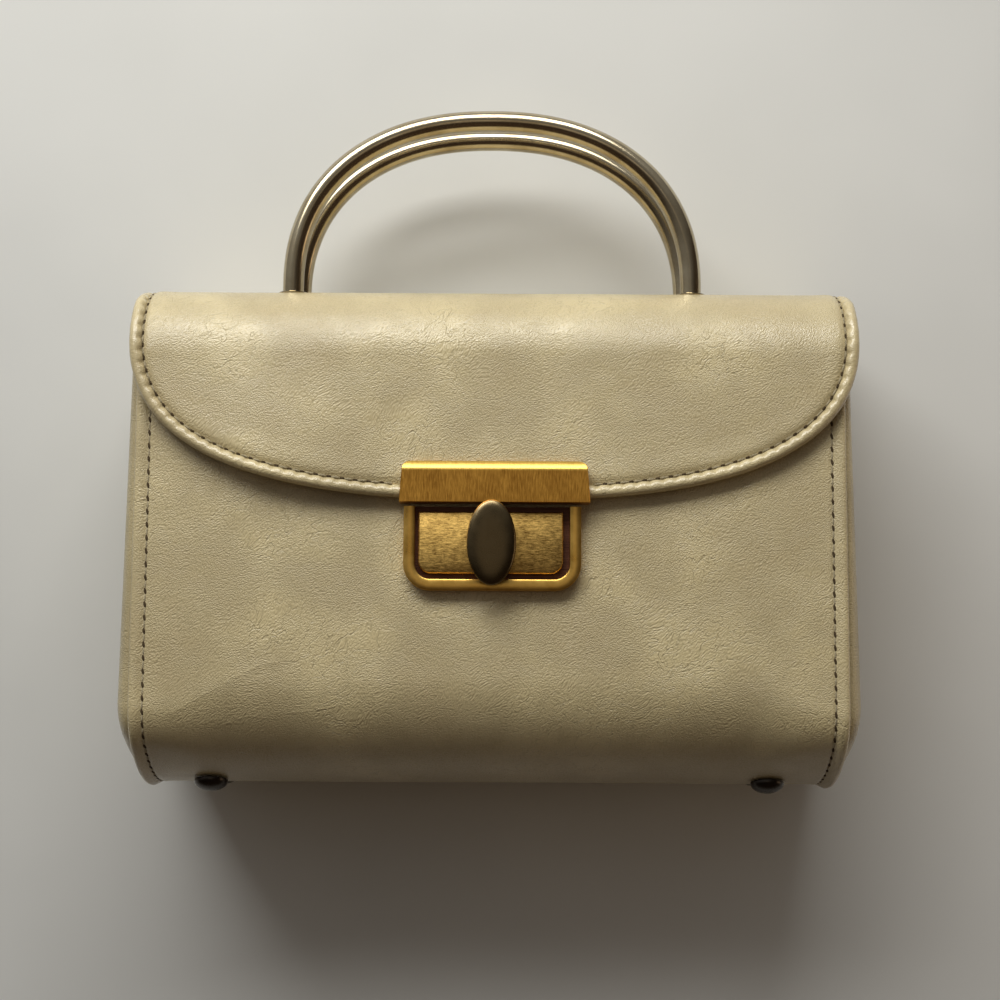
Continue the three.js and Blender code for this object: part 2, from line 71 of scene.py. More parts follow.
# The turned edge as rows (distance in from the edge, rise), with the stitch line's groove
WRAP_EDGE = (
    (5.6, 0.02), (5.0, 0.06), (4.5, -0.04), (4.0, -0.2), (3.5, -0.02), (3.0, 0.22), (2.2, 0.42),
    (1.4, RIM_RISE), (0.7, 0.5), (0.25, 0.2), (0.0, -0.35), (0.0, -1.2), (0.15, -1.8), (0.6, -WALL),
)
WRAP_FIELD_INSET = 6.6
WRAP_INSIDE_INSET = 8.0
WRAP_OUTSIDE_ABOVE = -0.6
WAVE_FADE = 6.0
# Slight waves in the leather: their height, length and random seed
WRAP_WAVES = ((0.05, 60, 11), (0.014, 18, 12))
CREASES = {
    "upper": {
        "height": 0.1, "width": 1.2,
        "points": [(-87.5, 21.6), (-78.1, 27.0), (-69.8, 31.4), (-64.8, 34.2), (-58.8, 35.8)],
    },
    "lower": {
        "height": 0.08, "width": 1.0,
        "points": [(-74.0, 18.2), (-68.2, 20.4), (-59.7, 21.2), (-49.7, 22.2), (-42.9, 23.5)],
    },
}
CREASE_WIDTH = 0.7
CREASE_DEPTH = 0.09
CREASE_FADE = 0.15
CREASE_REACH = 10.0

# End panels
PANEL_TOP = TOTAL_HEIGHT - 4.2
PANEL_TOP_RADIUS = 16.0
PANEL_FLANGE = 3.7
PANEL_BULGE_LOW = 4.9
PANEL_BULGE_HIGH = 2.3
PANEL_FOOT = 30.0
PANEL_FOOT_LOSS = 0.9
PANEL_ROLL_INSET = 5.2
PANEL_CROWN = 0.5
PANEL_CROWN_SHARES = (0.86, 0.7, 0.5, 0.3, 0.12)
PANEL_WAVES = {-1: (0.16, 40, 21), 1: (0.16, 40, 22)}

# Flap
FOLD_RADIUS = 22.0
FOLD_HEIGHT = TOTAL_HEIGHT - FOLD_RADIUS
FOLD_INSIDE = FOLD_RADIUS - WALL
BACK_FOLD_RADIUS = 12.0
BACK_FOLD_HEIGHT = TOTAL_HEIGHT - BACK_FOLD_RADIUS
FLAP_OFFSET = 0.9
FLAP_HALF_WIDTH = 100.8
FLAP_STAND_OFF = 1.1
FLAP_TUCK = 1.2
FLAP_CURVE_TOP = 129.5
FLAP_LOWEST = 82.5
FLAP_CURVE_POWER = 2.6
CORD_RADIUS = 1.8
CORD_LIFT = 1.6
CORD_TOP_LIFT = 0.2
CORD_TURN_START = 0.5
CORD_PINCH = 0.55
CORD_RIPPLE = 0.02
CORD_PLATE_OVERLAP = 0.14
# Where each stitch pinches the cord: its reach along the cord, and its middle and reach round it
PINCH_ALONG = 0.7
PINCH_ANGLE = math.radians(146)
PINCH_REACH = math.radians(38)
# The flap's thickness by distance from its edge: the stitch groove, a soft ridge, and then the full wall
FLAP_LIFT = (
    (0, WALL - 0.8), (1.5, WALL - 0.75), (2.05, WALL - 0.62), (2.6, WALL - 0.2), (3.4, WALL + 0.1),
    (5.0, WALL + 0.16), (9.0, WALL),
)
FLAP_WAVES = ((0.05, 55, 31), (0.014, 16, 32))
FLAP_WAVE_START = 3
FLAP_WAVE_FADE = 8
SWELL = 2.3
SWELL_X = -62.0
SWELL_REACH = 22.0
SWELL_TOP = 126.0
SWELL_FULL = 92.0

# Thread
STITCH_PITCH = 3.7
THREAD_RADIUS = 0.3
THREAD_HALF = 1.25
THREAD_DROP = 0.3
OVAL_TIP = 0.12
OVAL_FULLNESS = 0.6
THREAD_LIFT = 0.12
# The dark hole bodies, painted shade, have their middles this far out of the surface
HOLE_LIFT = 0.04
HOLE_LEAN = math.radians(20)
HOLE_LEAN_SPREAD = 0.05
STITCH_STEPS = 20
WRAP_STITCH_DEPTH = 0.3
FLAP_STITCH_DEPTH = 0.55
FLAP_STITCH_INSET = 2.05
WRAP_HOLE = (1.0, 0.52, 0.28)
FLAP_HOLE = (0.65, 0.4, 0.25)

# Handles
HANDLE_SPACING = 20.0
ROD_RADIUS = 3.1
ARCH_HALF_WIDTH = 58.7
ARCH_RISE = 50.2
ARCH_FOOT = 145.6
ARCH_POWER = 2.25
COLLAR_RADIUS = 4.5
COLLAR_HEIGHT = 0.7
# The collar's rounding as rows (distance in from its edge, height)
COLLAR_ROWS = ((0.2, 0), (0, 0.2), (0, 0.4), (0.3, 0.6), (0.9, COLLAR_HEIGHT))
RIVET_HEIGHT = 1.6
RIVET_EASE = 0.4
RIVET_CENTRE = 0.2

# Lock, in its own frame: x and y from the knob's centre on the box, z out of the front panel
LOCK_U = 68.5
KNOB_X = 0.4
KNOB_HALF = (6.8, 11.75)
KNOB_UNDERSIDE = 6.6
KNOB_EDGE = 0.9
KNOB_DOME = 1.9
KNOB_FLATNESS = 3.6
# Painted highlight on the knob's rim: its width, strength, side (upper left) and least share elsewhere
KNOB_HIGHLIGHT_WIDTH = 0.08
KNOB_HIGHLIGHT = 0.8
KNOB_HIGHLIGHT_SIDE = math.radians(125)
KNOB_HIGHLIGHT_LEAST = 0.3
STEM_RADIUS = 3.5
STEM_FOOT = 1.4
PLATE_X = 1.2
PLATE_WIDTH = 52.9
PLATE_TOP = 22.9
PLATE_BOTTOM = 11.2
PLATE_BACK = 3.6
PLATE_FRONT = 6.2
PLATE_CHAMFER = 2.4
PLATE_SLOPES = (math.radians(48), math.radians(16))
# Drop below the sloped top over which the painted highlight ends
PLATE_HIGHLIGHT_FADE = 0.5
PLATE_LIP = 0.8
PLATE_LIP_BACK = 0.6
PLATE_CORNER = 2.2
PLATE_FLARE = 0.8
PLATE_EDGE_BEVEL = 0.18
BASE_X = 0.65
BASE = {"half": 24.65, "top": 10.4, "bottom": -13.0, "corner": 7.5}
BASE_BAR = 3.2
BASE_FLOOR = 1.1
BASE_FACE = 3.3
BASE_EASE = 0.45
BASE_EASE_SIDE = 0.12
BASE_EASE_DROP = 0.14
BASE_FLOOR_OVERLAP = 0.2
LOCK_PANEL_X = 0.2
LOCK_PANEL = {"half": 20.1, "top": 8.9, "bottom": -8.3, "corner": 3.6}
LOCK_PANEL_FLOOR = 1.4
LOCK_PANEL_FACE = 3.0
LOCK_PANEL_BEVEL = 0.5
LOCK_PANEL_ROUND = (0.1, 0.28)

# Feet
FOOT_X = 80.0
FOOT_W = 12.5
FOOT_RADIUS = 4.8
FOOT_RIM = 0.4
FOOT_HEIGHT = 3.2
FOOT_CENTRE = 0.05
FOOT_EASE = 0.15
FOOT_RIM_EASE = 0.2
# How much lighter the studs' base rim is drawn
FOOT_RIM_LIGHTER = 0.35
FOOT_SIDES = 48

# Camera, from the photograph: its place in the purse's own frame, and its turns in the row frame
CAMERA_MM = (2.71, 45.58, 506.81)
CAMERA_PITCH = math.radians(2.15)
CAMERA_ROLL = math.radians(0.3)
FOCAL_IN_WIDTHS = 1.7
SENSOR_MM = 36.0

# Floor and lights, in metres and watts: an area light's place, target, size, power and colour
FLOOR_HALF = 1.6
LIGHTS = {
    "window": ((-0.15, 0.6, 0.47), (0.0, 0.0, 0.05), (0.8, 0.32), 6.5, (1.0, 0.995, 0.955)),
    "ceiling": ((0.0, 0.05, 1.1), (0.0, 0.0, 0.05), (0.35, 0.35), 0.13, (1.0, 0.86, 0.66)),
    "warm_wall": ((0.5, -0.05, 0.12), (0.1, 0.0, 0.03), (0.3, 0.16), 0.2, (1.0, 0.78, 0.55)),
}
WINDOW_DIRECTION = (-0.35, 0.9, 0.05)

# Room light by direction, from the side away from the window to the window's
ROOM_LIGHT = ((0.0, (0.068, 0.043, 0.027)), (0.52, (0.038, 0.027, 0.018)), (1.0, (0.47, 0.47, 0.46)))

# Mesh steps
CORNER_STEPS = 22
CROWN_STEPS = 34
FRONT_STEPS = 116
BACK_STEPS = 50
WRAP_COLUMNS = 88
WRAP_INSIDE_COLUMNS = 12
FLAP_COLUMNS = 141
FLAP_FRONT_STEPS = 66
FLAP_EDGE_STEP = 0.8
CORD_STEP = 0.55
CORD_SIDES = 22
KNOB_SIDES = 96
ARCH_STEPS = 241
LEG_STEPS = 7
ROD_STEP = 1.3
ROD_SIDES = 28
COLLAR_SIDES = 36
SHARP = math.radians(38)

# Shift from the purse's own frame to the row frame: its back lies on the floor
SHIFT_Z = CORNER_RADIUS + RIM_RISE + CORNER_U * math.sin(TAPER) + CORNER_W * math.cos(TAPER)
SHIFT_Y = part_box("body_wrap")[0].y / MM + CROWN_RADIUS + RIM_RISE - CROWN_RADIUS * math.cos(TAPER)


def place(points):
    """Points (x, u, w) in millimetres as points in the row frame, in metres."""
    points = np.asarray(points, float)
    x, u, w = points[..., 0], points[..., 1], points[..., 2]
    y = u * math.cos(TAPER) + w * math.sin(TAPER) + SHIFT_Y
    z = -u * math.sin(TAPER) + w * math.cos(TAPER) + SHIFT_Z
    return np.stack([x, y, z], -1) * MM


def place_lock(points, x_shift):
    """Points in the lock's frame as points in the row frame."""
    points = np.asarray(points, float)
    x, y, z = points[..., 0] + x_shift, points[..., 1], points[..., 2]
    u = LOCK_U + y * math.cos(TAPER) + z * math.sin(TAPER)
    w = front_w(LOCK_U, 0) - y * math.sin(TAPER) + z * math.cos(TAPER)
    return place(np.stack([x, u, w], -1))


def front_w(u, offset):
    """Distance of the front from the middle plane at height u, for a surface offset outwards."""
    return CORNER_W + (CORNER_RADIUS + offset - (u - CORNER_U) * math.sin(TAPER)) / math.cos(TAPER)


# Mesh helpers

def mesh_piece(name, verts, faces, material, body="purse", replaces=(), sharp=SHARP):
    """A smooth-shaded mesh piece that rides on a body."""
    mesh = bpy.data.meshes.new(name)
    mesh.from_pydata([tuple(v) for v in np.asarray(verts, float)], [], [tuple(f) for f in faces])
    mesh.validate()
    mesh.polygons.foreach_set("use_smooth", [True] * len(mesh.polygons))
    mesh.set_sharp_from_angle(angle=sharp)
    piece = bpy.data.objects.new(name, mesh)
    bpy.context.scene.collection.objects.link(piece)
    mesh.materials.append(material)
    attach(piece, body)
    if replaces:
        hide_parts(*replaces)
    return piece


def loft(rings, capped=True):
    """Vertices and faces of closed rings of equal length, joined in order, with both ends filled."""
    rings = np.asarray(rings, float)
    count, size = rings.shape[:2]
    faces = []
    for i in range(count - 1):
        for j in range(size):
            k = (j + 1) % size
            faces.append((i * size + j, i * size + k, (i + 1) * size + k, (i + 1) * size + j))
    if capped:
        faces.append(tuple(range(size - 1, -1, -1)))
        faces.append(tuple((count - 1) * size + j for j in range(size)))
    verts = rings.reshape(-1, 3)
    return verts, outward(verts, faces)


def outward(verts, faces):
    """The faces turned, if needed, so that the closed body's volume is positive."""
    volume = 0.0
    for face in faces:
        a = verts[face[0]]
        for j in range(1, len(face) - 1):
            volume += np.dot(a, np.cross(verts[face[j]], verts[face[j + 1]]))
    return faces if volume > 0 else [tuple(reversed(face)) for face in faces]


def join(parts):
    """One vertex and face list from several."""
    verts, faces, start = [], [], 0
    for part_verts, part_faces in parts:
        verts.append(part_verts)
        faces.extend(tuple(index + start for index in face) for face in part_faces)
        start += len(part_verts)
    return np.concatenate(verts), faces


def resample(points, step, *others):
    """A polyline, and values along it, at even steps of about the given length."""
    points = np.asarray(points, float)
    along = np.concatenate([[0], np.cumsum(np.linalg.norm(np.diff(points, axis=0), axis=1))])
    count = max(2, int(round(along[-1] / step)) + 1)
    even = np.linspace(0, along[-1], count)
    spread = [
        np.stack([np.interp(even, along, np.asarray(values, float)[:, k]) for k in range(3)], -1)
        for values in (points, *others)
    ]
    return (even, *spread)


def round_angles(count):
    """Even angles round a full turn."""
    return np.linspace(0, 2 * math.pi, count, endpoint=False)


def unit(vectors):
    return vectors / np.linalg.norm(vectors, axis=-1, keepdims=True)


def ripple(a, b, scale, seed, terms=6):
    """Smooth seeded unevenness between about -1 and 1 over two coordinates."""
    draw = np.random.default_rng(seed)
    total = np.zeros(np.broadcast(a, b).shape)
    for _ in range(terms):
        angle, phase = draw.uniform(0, 2 * math.pi, 2)
        length = scale * draw.uniform(0.6, 1.8)
        total = total + np.sin((a * math.cos(angle) + b * math.sin(angle)) * 2 * math.pi / length + phase)
    return total / math.sqrt(terms)


def waves_at(waves, a, b):
    """Sum of slight waves (height, length, seed) over two coordinates."""
    return sum(height * ripple(a, b, length, seed) for height, length, seed in waves)


# Paths on the box

def arc(centre_u, centre_w, radius, start, end, steps):
    """Rows (u, w, normal u, normal w) on an arc, its angle measured from +w towards +u."""
    angles = np.linspace(start, end, steps + 1)
    return np.stack([
        centre_u + radius * np.sin(angles), centre_w + radius * np.cos(angles),
        np.sin(angles), np.cos(angles),
    ], -1)


def straight(start, end, normal, steps):
    """Rows on a straight stretch, without its two ends."""
    share = np.linspace(0, 1, steps + 1)[1:-1, None]
    places = np.asarray(start) * (1 - share) + np.asarray(end) * share
    return np.concatenate([places, np.repeat([normal], len(places), 0)], 1)


def row_normals(rows):
    """Normals (x, u, w) of rows."""
    return np.stack([np.zeros(len(rows)), rows[:, 2], rows[:, 3]], -1)


def smooth_step(value, start, end):
    share = np.clip((value - start) / (end - start), 0, 1)
    return share * share * (3 - 2 * share)


def corner_centre(radius):
    """Centre (u, w) of a lower corner's arc, which touches the crown and the leaning front."""
    lean = math.tan(TAPER)
    reach = front_w(0, -radius)
    half = lean * reach + CROWN_RADIUS
    square = 1 + lean ** 2
    rest = reach ** 2 + CROWN_RADIUS ** 2 - (CROWN_RADIUS - radius) ** 2
    u = (half - math.sqrt(half ** 2 - square * rest)) / square
    return u, reach - lean * u


def bottom_rows(offset, radius, corner_steps, crown_steps):
    low = -math.pi / 2
    u, w = corner_centre(radius)
    spread = math.atan2(w, CROWN_RADIUS - u)
    front = arc(u, w, radius + offset, TAPER, low + spread, corner_steps)
    crown = arc(CROWN_RADIUS, 0, CROWN_RADIUS + offset, low + spread, low - spread, crown_steps)
    back = arc(u, -w, radius + offset, low - spread, -math.pi - TAPER, corner_steps)
    return np.concatenate([front, crown[1:-1], back])


def wrap_rows(x):
    """The wrap's outside at x, from the front's top edge round the bottom to the back's top edge."""
    soft = float(smooth_step(-abs(x), -SOFT_CORNER_FROM, -SOFT_CORNER_TO))
    radius = CORNER_RADIUS + (MIDDLE_CORNER_RADIUS - CORNER_RADIUS) * soft
    bottom = bottom_rows(0, radius, CORNER_STEPS, CROWN_STEPS)
    front_normal = (math.sin(TAPER), math.cos(TAPER))
    back_normal = (math.sin(TAPER), -math.cos(TAPER))
    front_start = (FRONT_TOP, front_w(FRONT_TOP, 0))
    back_end = (BACK_TOP, -front_w(BACK_TOP, 0))
    return np.concatenate([
        [[*front_start, *front_normal]],
        straight(front_start, bottom[0, :2], front_normal, FRONT_STEPS),
        bottom,
        straight(bottom[-1, :2], back_end, back_normal, BACK_STEPS),
        [[*back_end, *back_normal]],
    ])


def flap_edge_height(x):
    """Height of the flap's edge at x from the flap's middle."""
    share = np.clip(np.abs(x) / FLAP_HALF_WIDTH, 0, 1)
    drop = (1 - share ** FLAP_CURVE_POWER) ** (1 / FLAP_CURVE_POWER)
    return FLAP_CURVE_TOP - (FLAP_CURVE_TOP - FLAP_LOWEST) * drop


def front_distance(height):
    """Distance along the flap's inside face, from the flat of its top, at which its front is at a height."""
    height = np.asarray(height, float)
    fold_end = FOLD_HEIGHT + FOLD_INSIDE * math.sin(TAPER)
    on_fold = FOLD_INSIDE * np.arccos(np.clip((height - FOLD_HEIGHT) / FOLD_INSIDE, 0, 1))
    below = FOLD_INSIDE * (math.pi / 2 - TAPER) + (fold_end - height) / math.cos(TAPER)
    return np.where(height >= fold_end, on_fold, below)


def front_rows(distance):
    """Rows of the flap's inside face at distances from the flat of its top."""
    turned = np.minimum(distance / FOLD_INSIDE, math.pi / 2 - TAPER)
    angle = math.pi / 2 - turned
    beyond = distance - turned * FOLD_INSIDE
    fold_w = front_w(FOLD_HEIGHT, FLAP_STAND_OFF - FOLD_INSIDE)
    u = FOLD_HEIGHT + FOLD_INSIDE * np.sin(angle) - beyond * math.cos(TAPER)
    w = fold_w + FOLD_INSIDE * np.cos(angle) + beyond * math.sin(TAPER)
    return np.stack([u, w, np.sin(angle), np.cos(angle)], -1)


def flap_rows(edge_height, front_steps):
    """Rows of the flap's inside face, from the seam at the back to its edge in front."""
    back_w = -front_w(BACK_FOLD_HEIGHT, -FLAP_TUCK - BACK_FOLD_RADIUS)
    back = arc(BACK_FOLD_HEIGHT, back_w, BACK_FOLD_RADIUS - WALL, math.pi - TAPER, math.pi / 2, 14)
    front = front_rows(np.linspace(0, float(front_distance(edge_height)), front_steps + 1))
    top = straight(back[-1, :2], front[0, :2], (1, 0), 12)
    return np.concatenate([back, top, front])


def swell(x, u):
    """Distance by which the flap's left part stands further off the front."""
    return SWELL * np.exp(-((x - SWELL_X) / SWELL_REACH) ** 2) * smooth_step(-u, -SWELL_TOP, -SWELL_FULL)


def flap_outline(side):
    """The flap's edge on one side: points on the inside face, outward normals and the cord's lift."""
    rows = flap_rows(FLAP_CURVE_TOP, 18)[:-1]
    plate_edge = PLATE_WIDTH / 2 - CORD_PLATE_OVERLAP + side * (PLATE_X - FLAP_OFFSET)
    plate_end = math.asin(plate_edge / FLAP_HALF_WIDTH)
    across = FLAP_HALF_WIDTH * np.sin(np.linspace(math.pi / 2, plate_end, 120))
    x = np.concatenate([np.full(len(rows), FLAP_HALF_WIDTH), across])
    rows = np.concatenate([rows, front_rows(front_distance(flap_edge_height(across)))])
    normals = row_normals(rows)
    x = side * x + FLAP_OFFSET
    points = np.stack([x, rows[:, 0], rows[:, 1]], -1) + normals * swell(x, rows[:, 0])[:, None]
    rise = (rows[:, 0] - FLAP_CURVE_TOP) / (TOTAL_HEIGHT - WALL - FLAP_CURVE_TOP)
    lift = CORD_LIFT + (CORD_TOP_LIFT - CORD_LIFT) * smooth_step(rise, CORD_TURN_START, 1)
    return points, normals, lift


# Material nodes

def fill_ramp(node, stops):
    """Give a colour ramp its stops (position, colour)."""
    elements = node.color_ramp.elements
    while len(elements) < len(stops):
        elements.new(0.5)
    for element, (position, colour) in zip(elements, stops):
        element.position = position
        element.color = (*colour, 1.0)


class Nodes:
    """Short forms for building one material's node tree."""

    def __init__(self, name):
        self.material = bpy.data.materials.new(name)
        self.material.use_nodes = True
        self.tree = self.material.node_tree
        self.shader = self.tree.nodes["Principled BSDF"]

    def add(self, kind, **values):
        node = self.tree.nodes.new(kind)
        for key, value in values.items():
            if key in node.inputs:
                node.inputs[key].default_value = value
            else:
                setattr(node, key, value)
        return node

    def link(self, source, target):
        self.tree.links.new(source, target)

    def set(self, **values):
        for key, value in values.items():
            self.shader.inputs[key.replace("_", " ")].default_value = value

    def coordinates(self, scale=(1, 1, 1), turn=(0, 0, 0)):
        """Row-frame coordinates in millimetres, turned and then scaled."""
        source = self.add("ShaderNodeTexCoord")
        mapping = self.add("ShaderNodeMapping", vector_type="TEXTURE")
        mapping.inputs["Scale"].default_value = [MM / s for s in scale]
        mapping.inputs["Rotation"].default_value = turn
        self.link(source.outputs["Object"], mapping.inputs["Vector"])
        return mapping.outputs["Vector"]

    def noise(self, vector, scale, detail=3.0, roughness=0.55, distortion=0.0):
        node = self.add("ShaderNodeTexNoise", Scale=scale, Detail=detail, Roughness=roughness,
                        Distortion=distortion)
        self.link(vector, node.inputs["Vector"])
        return node.outputs["Fac"]

    def ramp(self, value, stops):
        node = self.add("ShaderNodeValToRGB")
        fill_ramp(node, stops)
        self.link(value, node.inputs["Fac"])
        return node.outputs["Color"]

    def levels(self, value, low, high, out_low=0.0, out_high=1.0):
        node = self.add("ShaderNodeMapRange")
        for key, number in (("From Min", low), ("From Max", high), ("To Min", out_low), ("To Max", out_high)):
            node.inputs[key].default_value = number
        self.link(value, node.inputs["Value"])
        return node.outputs["Result"]

    def math(self, kind, a, b):
        node = self.add("ShaderNodeMath", operation=kind)
        for socket, value in zip(node.inputs, (a, b)):
            if isinstance(value, (int, float)):
                socket.default_value = value
            else:
                self.link(value, socket)
        return node.outputs["Value"]

    def mix(self, factor, a, b, blend="MIX"):
        node = self.add("ShaderNodeMix", data_type="RGBA", blend_type=blend)
        for name, value in (("Factor", factor), ("A", a), ("B", b)):
            socket = next(s for s in node.inputs if s.name == name and s.enabled)
            if isinstance(value, tuple):
                socket.default_value = (*value, 1.0)
            elif isinstance(value, (int, float)):
                socket.default_value = value
            else:
                self.link(value, socket)
        return next(s for s in node.outputs if s.enabled)

    def bump(self, height, distance, strength, below=None):
        node = self.add("ShaderNodeBump", Distance=distance * MM, Strength=strength)
        self.link(height, node.inputs["Height"])
        if below is not None:
            self.link(below, node.inputs["Normal"])
        return node.outputs["Normal"]

    def finish(self, colour=None, roughness=None, normal=None, coat_normal=None):
        sockets = {"Base Color": colour, "Roughness": roughness, "Normal": normal, "Coat Normal": coat_normal}
        for name, value in sockets.items():
            if value is not None:
                self.link(value, self.shader.inputs[name])
        return self.material


def leather(name, light, middle, dark, relief=1.0, gloss=0.85, creases=()):
    """Leathercloth: fine wrinkled grain, blotches of handling and a soft sheen, with painted shade in the
    grain's hollows and painted light on its tops.
    """
    nodes = Nodes(name)
    nodes.set(Metallic=0.0, IOR=1.48, Coat_Weight=gloss, Coat_Roughness=0.22, Coat_IOR=1.5)
    plain = nodes.coordinates()
    drift = nodes.add("ShaderNodeTexNoise", Scale=0.055, Detail=2.0)
    nodes.link(plain, drift.inputs["Vector"])
    spread = nodes.add("ShaderNodeVectorMath", operation="SCALE", Scale=11.0)
    nodes.link(drift.outputs["Color"], spread.inputs[0])
    bent = nodes.add("ShaderNodeVectorMath", operation="ADD")
    nodes.link(nodes.coordinates((0.9, 1.35, 1.35), (0, 0, math.radians(46))), bent.inputs[0])
    nodes.link(spread.outputs["Vector"], bent.inputs[1])
    bent = bent.outputs["Vector"]
    pebbles = nodes.add("ShaderNodeTexVoronoi", feature="F1", Scale=1.9, Randomness=1.0)
    nodes.link(bent, pebbles.inputs["Vector"])
    fine = nodes.noise(bent, 2.6, 3.0, 0.6)
    wrinkle = nodes.noise(bent, 0.2, 2.0, 0.5, 0.4)
    valley = nodes.levels(nodes.math("ABSOLUTE", nodes.math("SUBTRACT", wrinkle, 0.5), 0.0), 0.0, 0.02)
    area = nodes.levels(nodes.noise(plain, 0.03, 2.0), 0.45, 0.62, 0.0, 1.0)
    wrinkles = nodes.math("MULTIPLY", valley, nodes.math("MULTIPLY", area, 0.55))
    rounds = nodes.math("MULTIPLY", pebbles.outputs["Distance"], -0.8)
    grain = nodes.math("ADD", nodes.math("ADD", wrinkles, rounds), nodes.math("MULTIPLY", fine, 0.55))
    broad = nodes.noise(plain, 0.045, 2.0, 0.5)
    smooth = nodes.bump(broad, 1.0, 0.05)
    normal = nodes.bump(grain, 0.21 * relief, 1.0, smooth)
    film = nodes.bump(grain, 0.09 * relief, 1.0, smooth)
    for crease in creases:
        place_in_crease = nodes.add("ShaderNodeAttribute", attribute_name=f"crease_{crease}")
        distance = nodes.add("ShaderNodeVectorMath", operation="LENGTH")
        nodes.link(place_in_crease.outputs["Vector"], distance.inputs[0])
        wobble = nodes.levels(nodes.noise(plain, 0.35, 3.0), 0.3, 0.7, -0.2, 0.9)
        apart = nodes.math("ADD", distance.outputs["Value"], wobble)
        ridge = nodes.levels(apart, 0.0, CREASE_WIDTH, 1.0, 0.0)
        normal = nodes.bump(ridge, CREASE_DEPTH, 1.0, normal)
    blotch = nodes.noise(plain, 0.03, 4.0, 0.6)
    colour = nodes.ramp(blotch, [(0.22, dark), (0.5, middle), (0.8, light)])
    # Painted shade and light: the grain's hollows drawn darker and its raised tops lighter.
    grain_shade = nodes.levels(grain, -0.4, 0.4, 0.84, 1.06)
    shade = nodes.add("ShaderNodeCombineColor")
    for channel in ("Red", "Green", "Blue"):
        nodes.link(grain_shade, shade.inputs[channel])
    colour = nodes.mix(1.0, colour, shade.outputs["Color"], "MULTIPLY")
    roughness = nodes.levels(grain, -0.4, 0.4, 0.48, 0.32)
    return nodes.finish(colour, roughness, normal, film)


def thread(name, colour):
    """Twisted sewing thread, with painted shade in the twist's grooves."""
    nodes = Nodes(name)
    nodes.set(IOR=1.45)
    plain = nodes.coordinates((3.0, 3.0, 3.0), (0, 0, math.radians(40)))
    wave = nodes.add("ShaderNodeTexWave", Scale=1.2, Distortion=1.0)
    nodes.link(plain, wave.inputs["Vector"])
    # Painted shade: the twist's grooves drawn darker, where its bump sinks.
    tone = nodes.ramp(wave.outputs["Fac"], [(0.2, tuple(0.55 * c for c in colour)), (0.8, colour)])
    normal = nodes.bump(wave.outputs["Fac"], 0.12, 0.8)
    nodes.set(Roughness=0.75)
    return nodes.finish(tone, None, normal)


def needle_hole_shade(name):
    """Painted shade of a needle hole: a dark body standing in for the hole's shaded inside."""
    nodes = Nodes(name)
    nodes.set(Roughness=0.9, Specular_IOR_Level=0.1)
    patchy = nodes.noise(nodes.coordinates(), 2.0)
    tone = nodes.ramp(patchy, [(0.3, (0.045, 0.03, 0.016)), (0.8, (0.11, 0.078, 0.045))])
    return nodes.finish(tone)


def brushed_metal(name, light, dark, stretch, roughness, painted_highlight=None, grit=0.65):
    """Gold-toned metal with brush marks as dense along each axis as the stretch says, and with a
    painted highlight tone where the mesh's attribute says."""
    nodes = Nodes(name)
    nodes.set(Metallic=1.0)
    streak = nodes.noise(nodes.coordinates(stretch), 1.6, 4.0, grit)
    cloud = nodes.noise(nodes.coordinates(), 0.14, 3.0)
    blend = nodes.math("ADD", nodes.math("MULTIPLY", streak, 0.75), nodes.math("MULTIPLY", cloud, 0.25))
    tone = nodes.ramp(blend, [(0.36, dark), (0.62, light)])
    if painted_highlight:
        wear_and_highlight = nodes.add("ShaderNodeAttribute", attribute_name="wear_and_highlight")
        broken = nodes.levels(streak, 0.3, 0.6, 0.55, 1.0)
        tone = nodes.mix(nodes.math("MULTIPLY", wear_and_highlight.outputs["Fac"], broken), tone, painted_highlight)
    rough = nodes.levels(streak, 0.3, 0.7, *roughness)
    normal = nodes.bump(streak, 0.05, 0.55)
    return nodes.finish(tone, rough, normal)


def polished_metal(name, light, dark):
    """Polished pale gold with faint handling marks and some tarnish."""
    nodes = Nodes(name)
    nodes.set(Metallic=1.0)
    plain = nodes.coordinates()
    tarnish = nodes.noise(plain, 0.09, 5.0, 0.6)
    tone = nodes.ramp(tarnish, [(0.35, light), (0.7, dark)])
    scratches = nodes.noise(nodes.coordinates((0.25, 2.2, 2.2), (0, 0, 0.5)), 2.0, 4.0, 0.7)
    rough = nodes.levels(nodes.math("ADD", tarnish, scratches), 0.7, 1.3, 0.14, 0.24)
    normal = nodes.bump(scratches, 0.01, 0.15)
    return nodes.finish(tone, rough, normal)


def aged_metal(name, dark, worn_and_highlight):
    """Dark bronze, made bright where the mesh's attribute says: a painted highlight on the knob's rim, a
    lighter base rim on the studs.
    """
    nodes = Nodes(name)
    nodes.set(Metallic=1.0)
    wear_and_highlight = nodes.add("ShaderNodeAttribute", attribute_name="wear_and_highlight")
    plain = nodes.coordinates()
    patchy = nodes.noise(plain, 0.3, 4.0, 0.6)
    uneven = nodes.math("ADD", wear_and_highlight.outputs["Fac"], nodes.math("MULTIPLY", patchy, 0.35))
    amount = nodes.levels(uneven, 0.55, 0.95)
    patina = nodes.ramp(patchy, [(0.35, dark), (0.75, tuple(1.15 * c for c in dark))])
    tone = nodes.mix(amount, patina, worn_and_highlight)
    rough = nodes.levels(patchy, 0.3, 0.7, 0.25, 0.31)
    normal = nodes.bump(nodes.noise(plain, 1.2, 4.0), 0.03, 0.25)
    return nodes.finish(tone, rough, normal)


def floor_cloth(name):
    """Plain pale matt floor."""
    nodes = Nodes(name)
    nodes.set(Roughness=0.9)
    patchy = nodes.noise(nodes.coordinates(), 0.008, 3.0)
    tone = nodes.ramp(patchy, [(0.3, (0.66, 0.66, 0.64)), (0.7, (0.72, 0.72, 0.70))])
    return nodes.finish(tone)


def shaded(tones, share):
    """Tones made darker or lighter: painted shade or painted light in a copy of a material."""
    return [tuple(share * c for c in tone) for tone in tones]


